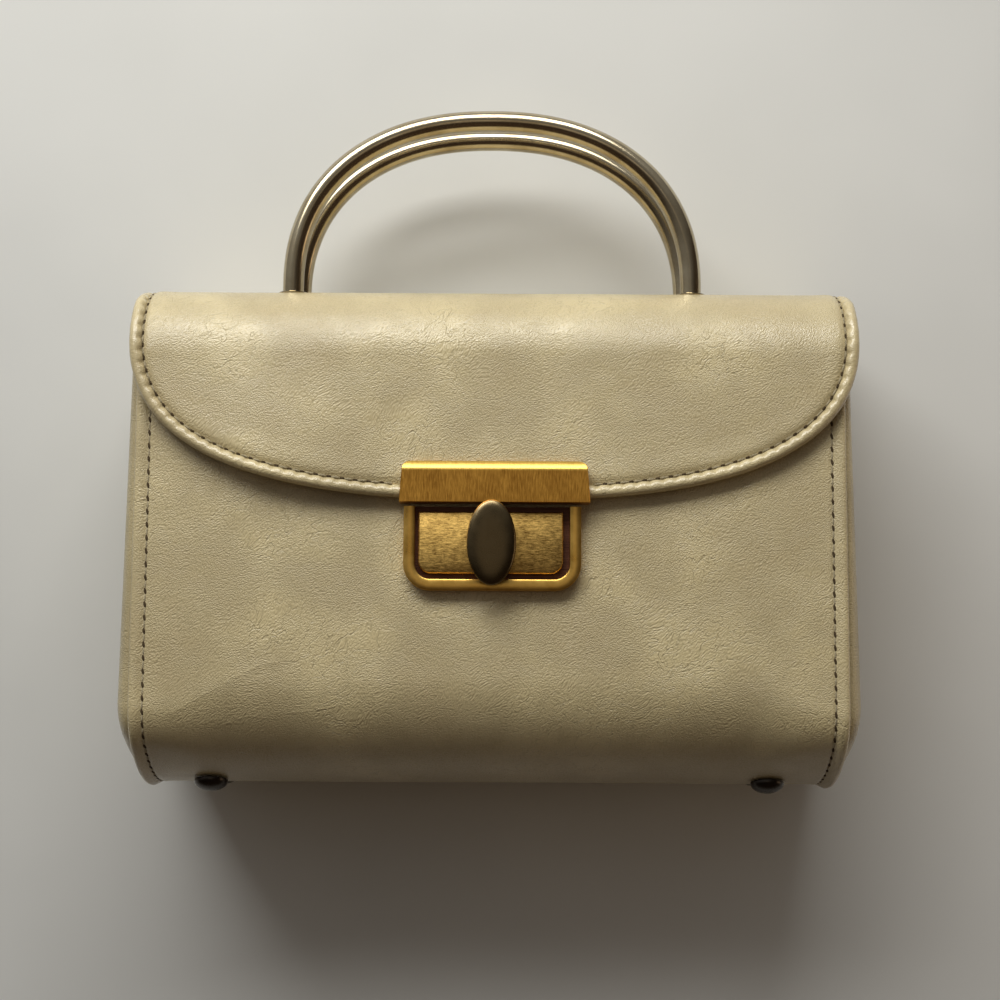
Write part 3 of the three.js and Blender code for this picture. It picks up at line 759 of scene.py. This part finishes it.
CREAM = ((0.628, 0.526, 0.298), (0.576, 0.474, 0.266), (0.525, 0.42, 0.233))
PANEL_LEATHER = leather("panel_leather", *CREAM)
WRAP_LEATHER = leather("wrap_leather", *CREAM, creases=CREASES)
# End panels: the cream leather made darker, painted shade.
SHADED_END_LEATHER = leather("end_leather", *shaded(CREAM, 0.86))
# Corded edges: the cream leather made lighter, painted light.
LIGHTENED_EDGE_LEATHER = leather("lightened_edge_leather", *shaded(CREAM, 1.04), relief=0.6, gloss=1.0)
THREAD = thread("thread", (0.66, 0.56, 0.36))
# Dark bodies at the needle holes: painted shade of the holes' insides.
HOLE_SHADE = needle_hole_shade("needle_hole_shade")
PLATE_METAL = brushed_metal(
    # Plate: its bright second tone is a painted highlight on the sloped top.
    "plate_metal", (0.76, 0.40, 0.075), (0.42, 0.19, 0.03), (2.6, 0.22, 0.22), (0.3, 0.42), (0.66, 0.43, 0.1))
LOCK_PANEL_METAL = brushed_metal(
    "lock_panel_metal", (1.0, 0.66, 0.2), (0.2, 0.095, 0.018), (0.34, 1.6, 1.6), (0.3, 0.5), grit=0.9)
FRAME_METAL = brushed_metal(
    "frame_metal", (0.86, 0.54, 0.14), (0.66, 0.38, 0.08), (0.09, 0.09, 0.3), (0.26, 0.36))
# Painted shade: the groove's floor round the lock panel drawn nearly black-brown.
GROOVE_SHADE_METAL = brushed_metal(
    "groove_shade_metal", (0.17, 0.08, 0.05), (0.05, 0.022, 0.018), (0.06, 2.6, 2.6), (0.4, 0.6))
ROD_METAL = polished_metal("rod_metal", (0.58, 0.505, 0.36), (0.4, 0.325, 0.205))
# Knob: its bright second tone is a painted highlight on the rim.
KNOB_METAL = aged_metal("knob_metal", (0.115, 0.085, 0.045), (0.8, 0.6, 0.3))
# Studs: the second tone lightens their base rim.
FOOT_METAL = aged_metal("foot_metal", (0.05, 0.042, 0.036), (0.3, 0.22, 0.13))


# Leather pieces

def wrap_section():
    """Section of the wrap across its width as (x, offset) rows: outside from left to right, then inside."""
    edge = WRAP_HALF_WIDTH
    turned = [(edge - inset, rise) for inset, rise in WRAP_EDGE]
    field = [(x, 0.0) for x in np.linspace(0, edge - WRAP_FIELD_INSET, WRAP_COLUMNS)]
    right = field + turned
    left = [(-x, offset) for x, offset in reversed(right[1:])]
    inner = edge - WRAP_INSIDE_INSET
    inside = [(x, -WALL) for x in np.linspace(inner, -inner, WRAP_INSIDE_COLUMNS)]
    return np.array(left + right + inside)


def crease_field(crease, x, u):
    """Signed distance across a crease and distance past its ends, at places on the front."""
    nearest = np.full(x.shape, np.inf)
    across = np.zeros(x.shape)
    past = np.zeros(x.shape)
    for (x0, u0), (x1, u1) in zip(crease["points"], crease["points"][1:]):
        length = math.hypot(x1 - x0, u1 - u0)
        along_x, along_u = (x1 - x0) / length, (u1 - u0) / length
        along = (x - x0) * along_x + (u - u0) * along_u
        side = (u - u0) * along_x - (x - x0) * along_u
        beyond = np.maximum(0, np.maximum(-along, along - length))
        closer = np.hypot(side, beyond) < nearest
        nearest = np.where(closer, np.hypot(side, beyond), nearest)
        across = np.where(closer, side, across)
        past = np.where(closer, beyond, past)
    return across, past


def make_wrap():
    section = wrap_section()
    rows = np.stack([wrap_rows(x) for x in section[:, 0]], 1)
    along = np.cumsum(np.linalg.norm(np.diff(rows[..., :2], axis=0, prepend=rows[:1, :, :2]), axis=2), 0)
    x = np.repeat(section[None, :, 0], len(rows), 0)
    offset = np.repeat(section[None, :, 1], len(rows), 0)
    outside = offset > WRAP_OUTSIDE_ABOVE
    offset = np.where(offset > 0, offset * (1 + RIM_LOW_GAIN * np.clip(-rows[..., 2], 0, 1)), offset)
    waves = waves_at(WRAP_WAVES, x, along)
    fields = {name: crease_field(crease, x, rows[..., 0]) for name, crease in CREASES.items()}
    for name, (across, past) in fields.items():
        ridge = CREASES[name]["height"] * np.exp(-(np.hypot(across, past) / CREASES[name]["width"]) ** 2)
        waves = waves + np.where(rows[..., 1] > 0, ridge, 0)
    field = np.clip((WRAP_STITCH_X - np.abs(x)) / WAVE_FADE, 0, 1)
    offset = offset + np.where(outside, waves * field, 0)
    u = rows[..., 0] + rows[..., 2] * offset
    w = rows[..., 1] + rows[..., 3] * offset
    verts, faces = loft(place(np.stack([x, u, w], -1)))
    piece = mesh_piece("leather_wrap", verts, faces, WRAP_LEATHER, replaces=["body_wrap"])
    for name, (across, past) in fields.items():
        away = np.where(rows[..., 1] > 0, 0.0, CREASE_REACH)
        add_vectors(piece, f"crease_{name}", np.stack([across, past * CREASE_FADE, away], -1))
    return piece


def panel_outline(inset, steps=12):
    """Closed outline of an end panel in (u, w), drawn in from the wrap's inside."""
    radius = PANEL_TOP_RADIUS - inset
    corner_u = PANEL_TOP - PANEL_TOP_RADIUS
    corner_w = front_w(corner_u, -(WALL + GAP) - PANEL_TOP_RADIUS)
    back = arc(corner_u, -corner_w, radius, math.pi - TAPER, math.pi / 2, steps)
    front = arc(corner_u, corner_w, radius, math.pi / 2, TAPER, steps)
    bottom = bottom_rows(-(WALL + GAP + inset), CORNER_RADIUS, steps, 20)
    return np.concatenate([bottom, back, front])[:, :2]


def panel_ring(side, inset, reach):
    corners = panel_outline(inset)
    return np.stack([side * reach(corners[:, 0]), corners[:, 0], corners[:, 1]], -1)


def make_end(side, name, node):
    def bulge(u):
        foot = np.maximum(0, 1 - u / PANEL_FOOT)
        full = PANEL_BULGE_LOW + (PANEL_BULGE_HIGH - PANEL_BULGE_LOW) * u / PANEL_TOP
        return full * (1 - PANEL_FOOT_LOSS * foot ** 2)

    def reach_at(rise, drop=0.0):
        return lambda u: WRAP_HALF_WIDTH + rise * bulge(u) - drop

    turns = np.linspace(0.1, math.pi / 2, 9)
    roll = [(PANEL_ROLL_INSET * (1 - math.cos(t)), math.sin(t)) for t in turns]
    outer = [panel_ring(side, inset, reach_at(rise)) for inset, rise in roll]
    last = outer[-1]
    centre = last.mean(0)
    crown = []
    for share in PANEL_CROWN_SHARES:
        ring = centre + (last - centre) * share
        ring[:, 0] = side * reach_at(1.0)(ring[:, 1]) + side * PANEL_CROWN * (1 - share ** 2)
        ring[:, 0] += side * waves_at([PANEL_WAVES[side]], ring[:, 1], ring[:, 2])
        crown.append(ring)
    flange = WRAP_HALF_WIDTH - PANEL_FLANGE
    inner = [panel_ring(side, inset + WALL, reach_at(rise, WALL)) for inset, rise in roll[::3]]
    rings = [
        *reversed(crown), *reversed(outer),
        *[panel_ring(side, inset, lambda u: flange + 0 * u) for inset in (0, WALL)], *inner,
    ]
    verts, faces = loft(place(rings))
    # Drawn in the darker leather copy, painted shade.
    piece = mesh_piece(name, verts, faces, SHADED_END_LEATHER, replaces=[node])
    return piece


def make_flap():
    columns = FLAP_HALF_WIDTH * np.sin(np.linspace(-math.pi / 2, math.pi / 2, FLAP_COLUMNS))
    edge_points = np.concatenate([flap_outline(-1)[0], flap_outline(1)[0][::-1]])
    edge_even = resample(edge_points, FLAP_EDGE_STEP)[1]
    outer_rings, inner_rings = [], []
    for x in columns:
        rows = flap_rows(float(flap_edge_height(x)), FLAP_FRONT_STEPS)
        normals = row_normals(rows)
        base = np.stack([np.full(len(rows), x + FLAP_OFFSET), rows[:, 0], rows[:, 1]], -1)
        base = base + normals * swell(base[:, 0], base[:, 1])[:, None]
        gaps = np.linalg.norm(base[:, None] - edge_even[None], axis=2).min(1)
        lift = np.interp(gaps, *zip(*FLAP_LIFT))
        steps = np.concatenate([[0], np.cumsum(np.linalg.norm(np.diff(base, axis=0), axis=1))])
        waves = waves_at(FLAP_WAVES, x, steps)
        lift = lift + waves * np.clip((gaps - FLAP_WAVE_START) / FLAP_WAVE_FADE, 0, 1)
        outer_rings.append(base + normals * lift[:, None])
        inner_rings.append(base)
    rings = [np.concatenate([outer, inner[::-1]]) for outer, inner in zip(outer_rings, inner_rings)]
    verts, faces = loft(place(rings))
    return mesh_piece("flap_sheet", verts, faces, PANEL_LEATHER, replaces=["flap"])


def make_flap_cord(side, name):
    """Corded edge on one side: a round roll, pinched at each stitch."""
    points, normals, lift = flap_outline(side)
    even, points, normals = resample(points + normals * lift[:, None], CORD_STEP, normals)
    normals = unit(normals)
    tangents = unit(np.gradient(points, axis=0))
    outwards = unit(np.cross(tangents, normals)) * -side
    angles = round_angles(CORD_SIDES)
    phase = (even / STITCH_PITCH) % 1.0 - 0.5
    pinch_along = np.exp(-((phase * STITCH_PITCH) / PINCH_ALONG) ** 2)
    pinch_round = np.exp(-((angles - PINCH_ANGLE) / PINCH_REACH) ** 2)
    radius = CORD_RADIUS + CORD_RIPPLE * ripple(even[:, None], angles[None] * 3, 5, 41)
    radius -= CORD_PINCH * pinch_along[:, None] * pinch_round[None]
    rings = points[:, None] + radius[..., None] * (
        np.cos(angles)[None, :, None] * outwards[:, None] + np.sin(angles)[None, :, None] * normals[:, None])
    verts, faces = loft(place(rings))
    # Drawn in the lighter leather copy, painted light.
    return mesh_piece(name, verts, faces, LIGHTENED_EDGE_LEATHER, sharp=math.radians(60))


# Stitches

def ellipsoid(centre, along, across, up, radii, bend=0.0, rings=7, sides=8):
    """A small closed oval body, its ends bent down by the given drop."""
    turns = np.linspace(OVAL_TIP, math.pi - OVAL_TIP, rings)
    angles = round_angles(sides)
    body = []
    for turn in turns:
        share = -math.cos(turn)
        spot = centre + along * radii[0] * share - up * bend * share ** 2
        girth = math.sin(turn) ** OVAL_FULLNESS
        round_it = np.cos(angles)[:, None] * across * radii[1] + np.sin(angles)[:, None] * up * radii[2]
        body.append(spot + girth * round_it)
    return loft(body)


def stitch_row(name, points, normals, inwards, hole_turn, hole):
    """Threads, and dark bodies painted with the needle holes' shade, along a line, as two pieces."""
    even, points, normals, inwards = resample(points, STITCH_PITCH / STITCH_STEPS, normals, inwards)
    normals, inwards = unit(normals), unit(inwards)
    tangents = unit(np.gradient(points, axis=0))
    threads, hole_shades = [], []
    draw = np.random.default_rng(len(even))
    for k in range(int(even[-1] / STITCH_PITCH)):
        middle = min(len(even) - 1, (k + 1) * STITCH_STEPS)
        spot = min(len(even) - 1, k * STITCH_STEPS + STITCH_STEPS // 2)
        lean = hole_turn + draw.normal(0, HOLE_LEAN_SPREAD)
        along = tangents[spot] * math.cos(lean) + inwards[spot] * math.sin(lean)
        across = np.cross(normals[spot], along)
        centre = points[spot] + normals[spot] * HOLE_LIFT
        hole_shades.append(ellipsoid(centre, along, across, normals[spot], hole))
        along = tangents[middle]
        across = np.cross(normals[middle], along)
        centre = points[middle] + normals[middle] * THREAD_LIFT
        threads.append(ellipsoid(centre, along, across, normals[middle],
                                 (THREAD_HALF, THREAD_RADIUS, THREAD_RADIUS), THREAD_DROP))
    for suffix, parts, material in (("thread", threads, THREAD), ("hole_shades", hole_shades, HOLE_SHADE)):
        verts, faces = join(parts)
        mesh_piece(f"{name}_{suffix}", place(verts), faces, material, sharp=math.pi)


def wrap_stitches(side, name):
    rows = wrap_rows(WRAP_STITCH_X)
    normals = row_normals(rows)
    points = np.stack([np.full(len(rows), side * WRAP_STITCH_X), rows[:, 0], rows[:, 1]], -1)
    points = points - normals * WRAP_STITCH_DEPTH
    inwards = np.repeat([[-side, 0.0, 0.0]], len(rows), 0)
    stitch_row(name, points[2:], normals[2:], inwards[2:], -side * HOLE_LEAN, WRAP_HOLE)


def flap_stitches(side, name):
    points, normals, _ = flap_outline(side)
    _, points, normals = resample(points, CORD_STEP, normals)
    tangents = unit(np.gradient(points, axis=0))
    inwards = unit(np.cross(tangents, unit(normals))) * side
    spots = points + inwards * FLAP_STITCH_INSET + normals * (WALL - FLAP_STITCH_DEPTH)
    stitch_row(name, spots, normals, inwards, 0.0, FLAP_HOLE)


# Metal pieces

def round_bottomed(half, top, bottom, corner, steps=14):
    """Outline with square upper corners and round lower ones, from the upper left downwards."""
    left = [(-half + corner * (1 - math.cos(a)), bottom + corner * (1 - math.sin(a)))
            for a in np.linspace(0, math.pi / 2, steps)]
    right = [(-x, y) for x, y in reversed(left)]
    return np.array([(-half, top), *left, *right, (half, top)])


def at_height(outline, z):
    return np.concatenate([outline, np.full((len(outline), 1), z)], 1)


def bevel(piece, width, segments):
    modifier = piece.modifiers.new("bevel", "BEVEL")
    modifier.width = width * MM
    modifier.segments = segments
    modifier.limit_method = "ANGLE"
    modifier.angle_limit = math.radians(30)
    modifier.harden_normals = False


def make_plate():
    """Flap plate: a bar with a sloped top, flared downwards, and a lip under the flap's edge."""
    steep, shallow = PLATE_SLOPES
    round_radius = PLATE_CHAMFER / (math.sin(steep) - math.sin(shallow))
    sloped_top = [
        (PLATE_TOP - round_radius * (math.sin(steep) - math.sin(a)),
         PLATE_FRONT - round_radius * (math.cos(shallow) - math.cos(a)))
        for a in np.linspace(steep, shallow, 9)
    ]
    profile = [
        (PLATE_TOP, PLATE_BACK), *sloped_top, (PLATE_TOP - PLATE_CHAMFER - PLATE_HIGHLIGHT_FADE, PLATE_FRONT),
        (PLATE_BOTTOM, PLATE_FRONT), (PLATE_BOTTOM, PLATE_LIP_BACK),
        (PLATE_BOTTOM + PLATE_LIP, PLATE_LIP_BACK), (PLATE_BOTTOM + PLATE_LIP, PLATE_BACK),
    ]
    profile = np.array(profile)
    height = (profile[:, 0] - PLATE_BOTTOM) / (PLATE_TOP - PLATE_BOTTOM)
    into_corner = np.clip((profile[:, 0] - (PLATE_TOP - PLATE_CORNER)) / PLATE_CORNER, 0, 1)
    half = PLATE_WIDTH / 2 - PLATE_FLARE * height - PLATE_CORNER * (1 - np.sqrt(1 - into_corner ** 2))
    rings = [np.stack([share * half, profile[:, 0], profile[:, 1]], -1) for share in np.linspace(-1, 1, 15)]
    verts, faces = loft(place_lock(rings, PLATE_X))
    piece = mesh_piece("flap_clip", verts, faces, PLATE_METAL, replaces=["flap_plate"],
                       sharp=math.radians(30))
    # Painted highlight on the sloped top, ending just below it.
    wear_and_highlight = [0, *np.ones(len(sloped_top)), *np.zeros(len(profile) - len(sloped_top) - 1)]
    add_wear_and_highlight(piece, np.tile(wear_and_highlight, len(rings)))
    bevel(piece, PLATE_EDGE_BEVEL, 2)
    return piece


def make_lock_frame():
    """U-shaped bar with eased edges, on a floor plate drawn dark with the groove's painted shade."""
    middle = dict(BASE)
    middle["half"] -= BASE_BAR / 2
    middle["bottom"] += BASE_BAR / 2
    middle["corner"] -= BASE_BAR / 2
    path = round_bottomed(**middle, steps=26)
    tangents = unit(np.gradient(path, axis=0))
    across = np.stack([tangents[:, 1], -tangents[:, 0]], -1)
    half, low, high, ease = BASE_BAR / 2, GAP, BASE_FACE, BASE_EASE
    side_ease, drop = half - BASE_EASE_SIDE, high - BASE_EASE_DROP
    section = [
        (-half, low), (half, low), (half, high - ease), (side_ease, drop), (half - ease, high),
        (-half + ease, high), (-side_ease, drop), (-half, high - ease),
    ]
    rings = [[(*(spot + side * a), z) for a, z in section] for spot, side in zip(path, across)]
    verts, faces = loft(place_lock(rings, BASE_X))
    mesh_piece("lock_frame", verts, faces, FRAME_METAL, replaces=["lock_base"],
               sharp=math.radians(25))
    inside = {
        "half": BASE["half"] - BASE_BAR + BASE_FLOOR_OVERLAP, "top": BASE["top"],
        "bottom": BASE["bottom"] + BASE_BAR - BASE_FLOOR_OVERLAP, "corner": BASE["corner"] - BASE_BAR,
    }
    outline = round_bottomed(**inside)
    verts, faces = loft(place_lock([at_height(outline, GAP), at_height(outline, BASE_FLOOR)], BASE_X))
    # The groove's floor, dark with painted shade.
    mesh_piece("lock_floor", verts, faces, GROOVE_SHADE_METAL)


def inset_outline(size, inset):
    return round_bottomed(
        size["half"] - inset, size["top"] - inset, size["bottom"] + inset, size["corner"] - inset)


def make_lock_panel():
    """Bevelled plate with a softly crowned face."""
    near, far = LOCK_PANEL_ROUND
    steps = [(0, LOCK_PANEL_FLOOR), (0, LOCK_PANEL_FACE - LOCK_PANEL_BEVEL), (near, LOCK_PANEL_FACE - far),
             (far, LOCK_PANEL_FACE - near), (LOCK_PANEL_BEVEL, LOCK_PANEL_FACE)]
    rings = [at_height(inset_outline(LOCK_PANEL, inset), z) for inset, z in steps]
    verts, faces = loft(place_lock(rings, LOCK_PANEL_X))
    return mesh_piece("lock_face", verts, faces, LOCK_PANEL_METAL, replaces=["lock_panel"],
                      sharp=math.radians(30))


def make_knob():
    """Oval button: an edge with a painted highlight on its upper left, round a dark low dome, on a round
    stem.
    """
    slim = KNOB_HALF[0] / KNOB_HALF[1]
    stem = STEM_RADIUS / KNOB_HALF[0]
    rows = [
        {"share": 0.02, "oval": slim, "z": STEM_FOOT, "wear_and_highlight": 0.0},
        {"share": stem, "oval": slim, "z": STEM_FOOT, "wear_and_highlight": 0.0},
        {"share": stem, "oval": slim, "z": KNOB_UNDERSIDE + 0.2, "wear_and_highlight": 0.0},
        {"share": 0.8, "oval": 1.0, "z": KNOB_UNDERSIDE + 0.05, "wear_and_highlight": 0.0},
        {"share": 0.93, "oval": 1.0, "z": KNOB_UNDERSIDE + 0.12, "wear_and_highlight": 0.1},
        {"share": 0.985, "oval": 1.0, "z": KNOB_UNDERSIDE + 0.45, "wear_and_highlight": 0.2},
        {"share": 1.0, "oval": 1.0, "z": KNOB_UNDERSIDE + KNOB_EDGE, "wear_and_highlight": 0.3},
    ]
    for turn in np.linspace(0.06, 0.995, 22) * math.pi / 2:
        share = math.cos(turn)
        rise = (1 - share ** KNOB_FLATNESS) ** (1 / KNOB_FLATNESS)
        worn_and_highlight = KNOB_HIGHLIGHT * math.exp(-((1 - share) / KNOB_HIGHLIGHT_WIDTH) ** 2)
        height = KNOB_UNDERSIDE + KNOB_EDGE + KNOB_DOME * rise
        rows.append({"share": share, "oval": 1.0, "z": height, "wear_and_highlight": worn_and_highlight})
    angles = round_angles(KNOB_SIDES)
    rings = []
    for row in rows:
        x = KNOB_HALF[0] * row["share"] * np.cos(angles)
        y = KNOB_HALF[1] * row["share"] * row["oval"] * np.sin(angles)
        rings.append(np.stack([x, y, np.full(KNOB_SIDES, row["z"])], -1))
    verts, faces = loft(place_lock(rings, KNOB_X))
    piece = mesh_piece("knob_button", verts, faces, KNOB_METAL, body="knob",
                       replaces=["turn_knob"])
    # Painted highlight: strongest on the rim's upper left, least on the far side.
    painted_highlight = KNOB_HIGHLIGHT_LEAST + (1 - KNOB_HIGHLIGHT_LEAST) * np.cos(angles - KNOB_HIGHLIGHT_SIDE).clip(0)
    add_wear_and_highlight(piece, np.outer([row["wear_and_highlight"] for row in rows], painted_highlight).ravel())
    return piece


def add_vectors(piece, name, vectors):
    attribute = piece.data.attributes.new(name, "FLOAT_VECTOR", "POINT")
    attribute.data.foreach_set("vector", np.asarray(vectors, np.float32).ravel())


def add_wear_and_highlight(piece, values):
    attribute = piece.data.attributes.new("wear_and_highlight", "FLOAT", "POINT")
    attribute.data.foreach_set("value", np.asarray(values, np.float32))


def lathe(profile, sides):
    """Rings (radius, height) turned about the y axis of a frame of its own."""
    angles = round_angles(sides)
    return [np.stack([r * np.cos(angles), np.full(sides, h), r * np.sin(angles)], -1) for r, h in profile]


def make_handle(w, name, node):
    turns = np.linspace(0, math.pi, ARCH_STEPS)
    across = ARCH_HALF_WIDTH * np.abs(np.cos(turns)) ** (2 / ARCH_POWER) * np.sign(np.cos(turns))
    up = ARCH_FOOT + ARCH_RISE * np.sin(turns).clip(0) ** (2 / ARCH_POWER)
    rivet_low = TOTAL_HEIGHT - WALL - GAP - RIVET_HEIGHT
    foot = np.linspace(rivet_low + GAP, ARCH_FOOT, LEG_STEPS + 1)[:-1]
    leg = np.full(LEG_STEPS, ARCH_HALF_WIDTH)
    path_x = np.concatenate([leg, across, -leg])
    path_u = np.concatenate([foot, up, foot[::-1]])
    _, path = resample(np.stack([path_x, path_u, np.full(len(path_x), w)], -1), ROD_STEP)
    tangents = unit(np.gradient(path, axis=0))
    depth = np.array([0.0, 0.0, 1.0])
    outwards = np.cross(tangents, depth)
    angles = round_angles(ROD_SIDES)
    rings = path[:, None] + ROD_RADIUS * (
        np.cos(angles)[None, :, None] * outwards[:, None] + np.sin(angles)[None, :, None] * depth)
    parts = [loft(rings)]
    collar_low = TOTAL_HEIGHT + GAP
    collar_profile = [
        (ROD_RADIUS / 2, collar_low),
        *[(COLLAR_RADIUS - inset, collar_low + rise) for inset, rise in COLLAR_ROWS],
        (ROD_RADIUS / 2, collar_low + COLLAR_HEIGHT),
    ]
    rivet_profile = [
        (RIVET_CENTRE, rivet_low), (COLLAR_RADIUS - RIVET_EASE, rivet_low),
        (COLLAR_RADIUS, rivet_low + RIVET_EASE), (COLLAR_RADIUS, rivet_low + RIVET_HEIGHT),
        (RIVET_CENTRE, rivet_low + RIVET_HEIGHT),
    ]
    for x in (-ARCH_HALF_WIDTH, ARCH_HALF_WIDTH):
        for profile in (collar_profile, rivet_profile):
            parts.append(loft([ring + np.array([x, 0, w]) for ring in lathe(profile, COLLAR_SIDES)]))
    verts, faces = join(parts)
    return mesh_piece(name, place(verts), faces, ROD_METAL, replaces=[node])


def make_foot(side, front, name, node):
    profile = [
        (FOOT_CENTRE, 0), (FOOT_RADIUS - FOOT_EASE, 0), (FOOT_RADIUS, FOOT_EASE),
        (FOOT_RADIUS, FOOT_RIM - FOOT_RIM_EASE),
    ]
    for turn in np.linspace(0.04, 0.995, 14):
        angle = turn * math.pi / 2
        profile.append((FOOT_RADIUS * math.cos(angle), FOOT_RIM + (FOOT_HEIGHT - FOOT_RIM) * math.sin(angle)))
    lean = math.asin(FOOT_W / CROWN_RADIUS)
    axis = np.array([0, -math.cos(lean), front * math.sin(lean)])
    third = np.array([0, front * math.sin(lean), math.cos(lean)])
    base = np.array([side * FOOT_X, CROWN_RADIUS, 0]) + axis * (CROWN_RADIUS + GAP)
    rings = [base + ring[:, :1] * np.array([1.0, 0, 0]) + ring[:, 1:2] * axis + ring[:, 2:] * third
             for ring in lathe(profile, FOOT_SIDES)]
    verts, faces = loft(place(rings))
    piece = mesh_piece(name, verts, faces, FOOT_METAL, replaces=[node])
    # The base rim drawn in the lighter tone.
    wear_and_highlight = [FOOT_RIM_LIGHTER if 0 < h < FOOT_RIM else 0.0 for _, h in profile for _ in range(FOOT_SIDES)]
    add_wear_and_highlight(piece, wear_and_highlight)
    return piece


def make_purse():
    make_wrap()
    make_end(-1, "end_pad_left", "end_left")
    make_end(1, "end_pad_right", "end_right")
    make_flap()
    for side, word in ((-1, "left"), (1, "right")):
        make_flap_cord(side, f"flap_cord_{word}")
        wrap_stitches(side, f"wrap_stitch_{word}")
        flap_stitches(side, f"flap_stitch_{word}")
    make_plate()
    make_lock_frame()
    make_lock_panel()
    make_knob()
    make_handle(HANDLE_SPACING / 2, "rod_front", "handle_front")
    make_handle(-HANDLE_SPACING / 2, "rod_back", "handle_back")
    for front, depth_word in ((1, "front"), (-1, "back")):
        for side, side_word in ((-1, "left"), (1, "right")):
            node = f"foot_{depth_word}_{side_word}"
            make_foot(side, front, f"stud_{depth_word}_{side_word}", node)


# Stage

def make_floor():
    size = FLOOR_HALF
    corners = [(-size, -size, 0), (size, -size, 0), (size, size, 0), (-size, size, 0)]
    mesh = bpy.data.meshes.new("floor")
    mesh.from_pydata(corners, [], [(0, 1, 2, 3)])
    floor = bpy.data.objects.new("floor", mesh)
    bpy.context.scene.collection.objects.link(floor)
    mesh.materials.append(floor_cloth("floor_cloth"))


def make_lights():
    for name, (location, target, size, power, colour) in LIGHTS.items():
        light = bpy.data.lights.new(name, "AREA")
        light.shape = "RECTANGLE"
        light.size, light.size_y = size
        light.energy = power
        light.color = colour
        lamp = bpy.data.objects.new(name, light)
        lamp.location = location
        lamp.rotation_euler = (Vector(target) - Vector(location)).to_track_quat("-Z", "Y").to_euler()
        bpy.context.scene.collection.objects.link(lamp)


def make_world():
    """Room light: bright towards the window, dim overhead and on the other sides."""
    world = bpy.data.worlds.new("room")
    world.use_nodes = True
    tree = world.node_tree
    direction = tree.nodes.new("ShaderNodeTexCoord")
    towards = tree.nodes.new("ShaderNodeVectorMath")
    towards.operation = "DOT_PRODUCT"
    towards.inputs[1].default_value = Vector(WINDOW_DIRECTION).normalized()
    tree.links.new(direction.outputs["Generated"], towards.inputs[0])
    span = tree.nodes.new("ShaderNodeMapRange")
    span.inputs["From Min"].default_value = -1.0
    tree.links.new(towards.outputs["Value"], span.inputs["Value"])
    ramp = tree.nodes.new("ShaderNodeValToRGB")
    fill_ramp(ramp, ROOM_LIGHT)
    tree.links.new(span.outputs["Result"], ramp.inputs["Fac"])
    background = tree.nodes["Background"]
    background.inputs["Strength"].default_value = 1.0
    tree.links.new(ramp.outputs["Color"], background.inputs["Color"])
    bpy.context.scene.world = world


def make_camera():
    camera = bpy.data.cameras.new("camera")
    camera.sensor_width = SENSOR_MM
    camera.lens = SENSOR_MM * FOCAL_IN_WIDTHS
    camera.clip_start = 0.01
    holder = bpy.data.objects.new("camera", camera)
    bpy.context.scene.collection.objects.link(holder)
    forward = Vector((0, math.sin(CAMERA_PITCH), -math.cos(CAMERA_PITCH)))
    level_up = Vector((0, math.cos(CAMERA_PITCH), math.sin(CAMERA_PITCH)))
    level_right = Vector((1, 0, 0))
    right = level_right * math.cos(CAMERA_ROLL) + level_up * math.sin(CAMERA_ROLL)
    up = level_up * math.cos(CAMERA_ROLL) - level_right * math.sin(CAMERA_ROLL)
    turn = Matrix((right, up, -forward)).transposed().to_4x4()
    holder.matrix_world = Matrix.Translation(Vector(place(CAMERA_MM))) @ turn
    bpy.context.scene.camera = holder


make_purse()
make_floor()
make_lights()
make_world()
make_camera()
bpy.context.scene.view_settings.view_transform = "Standard"
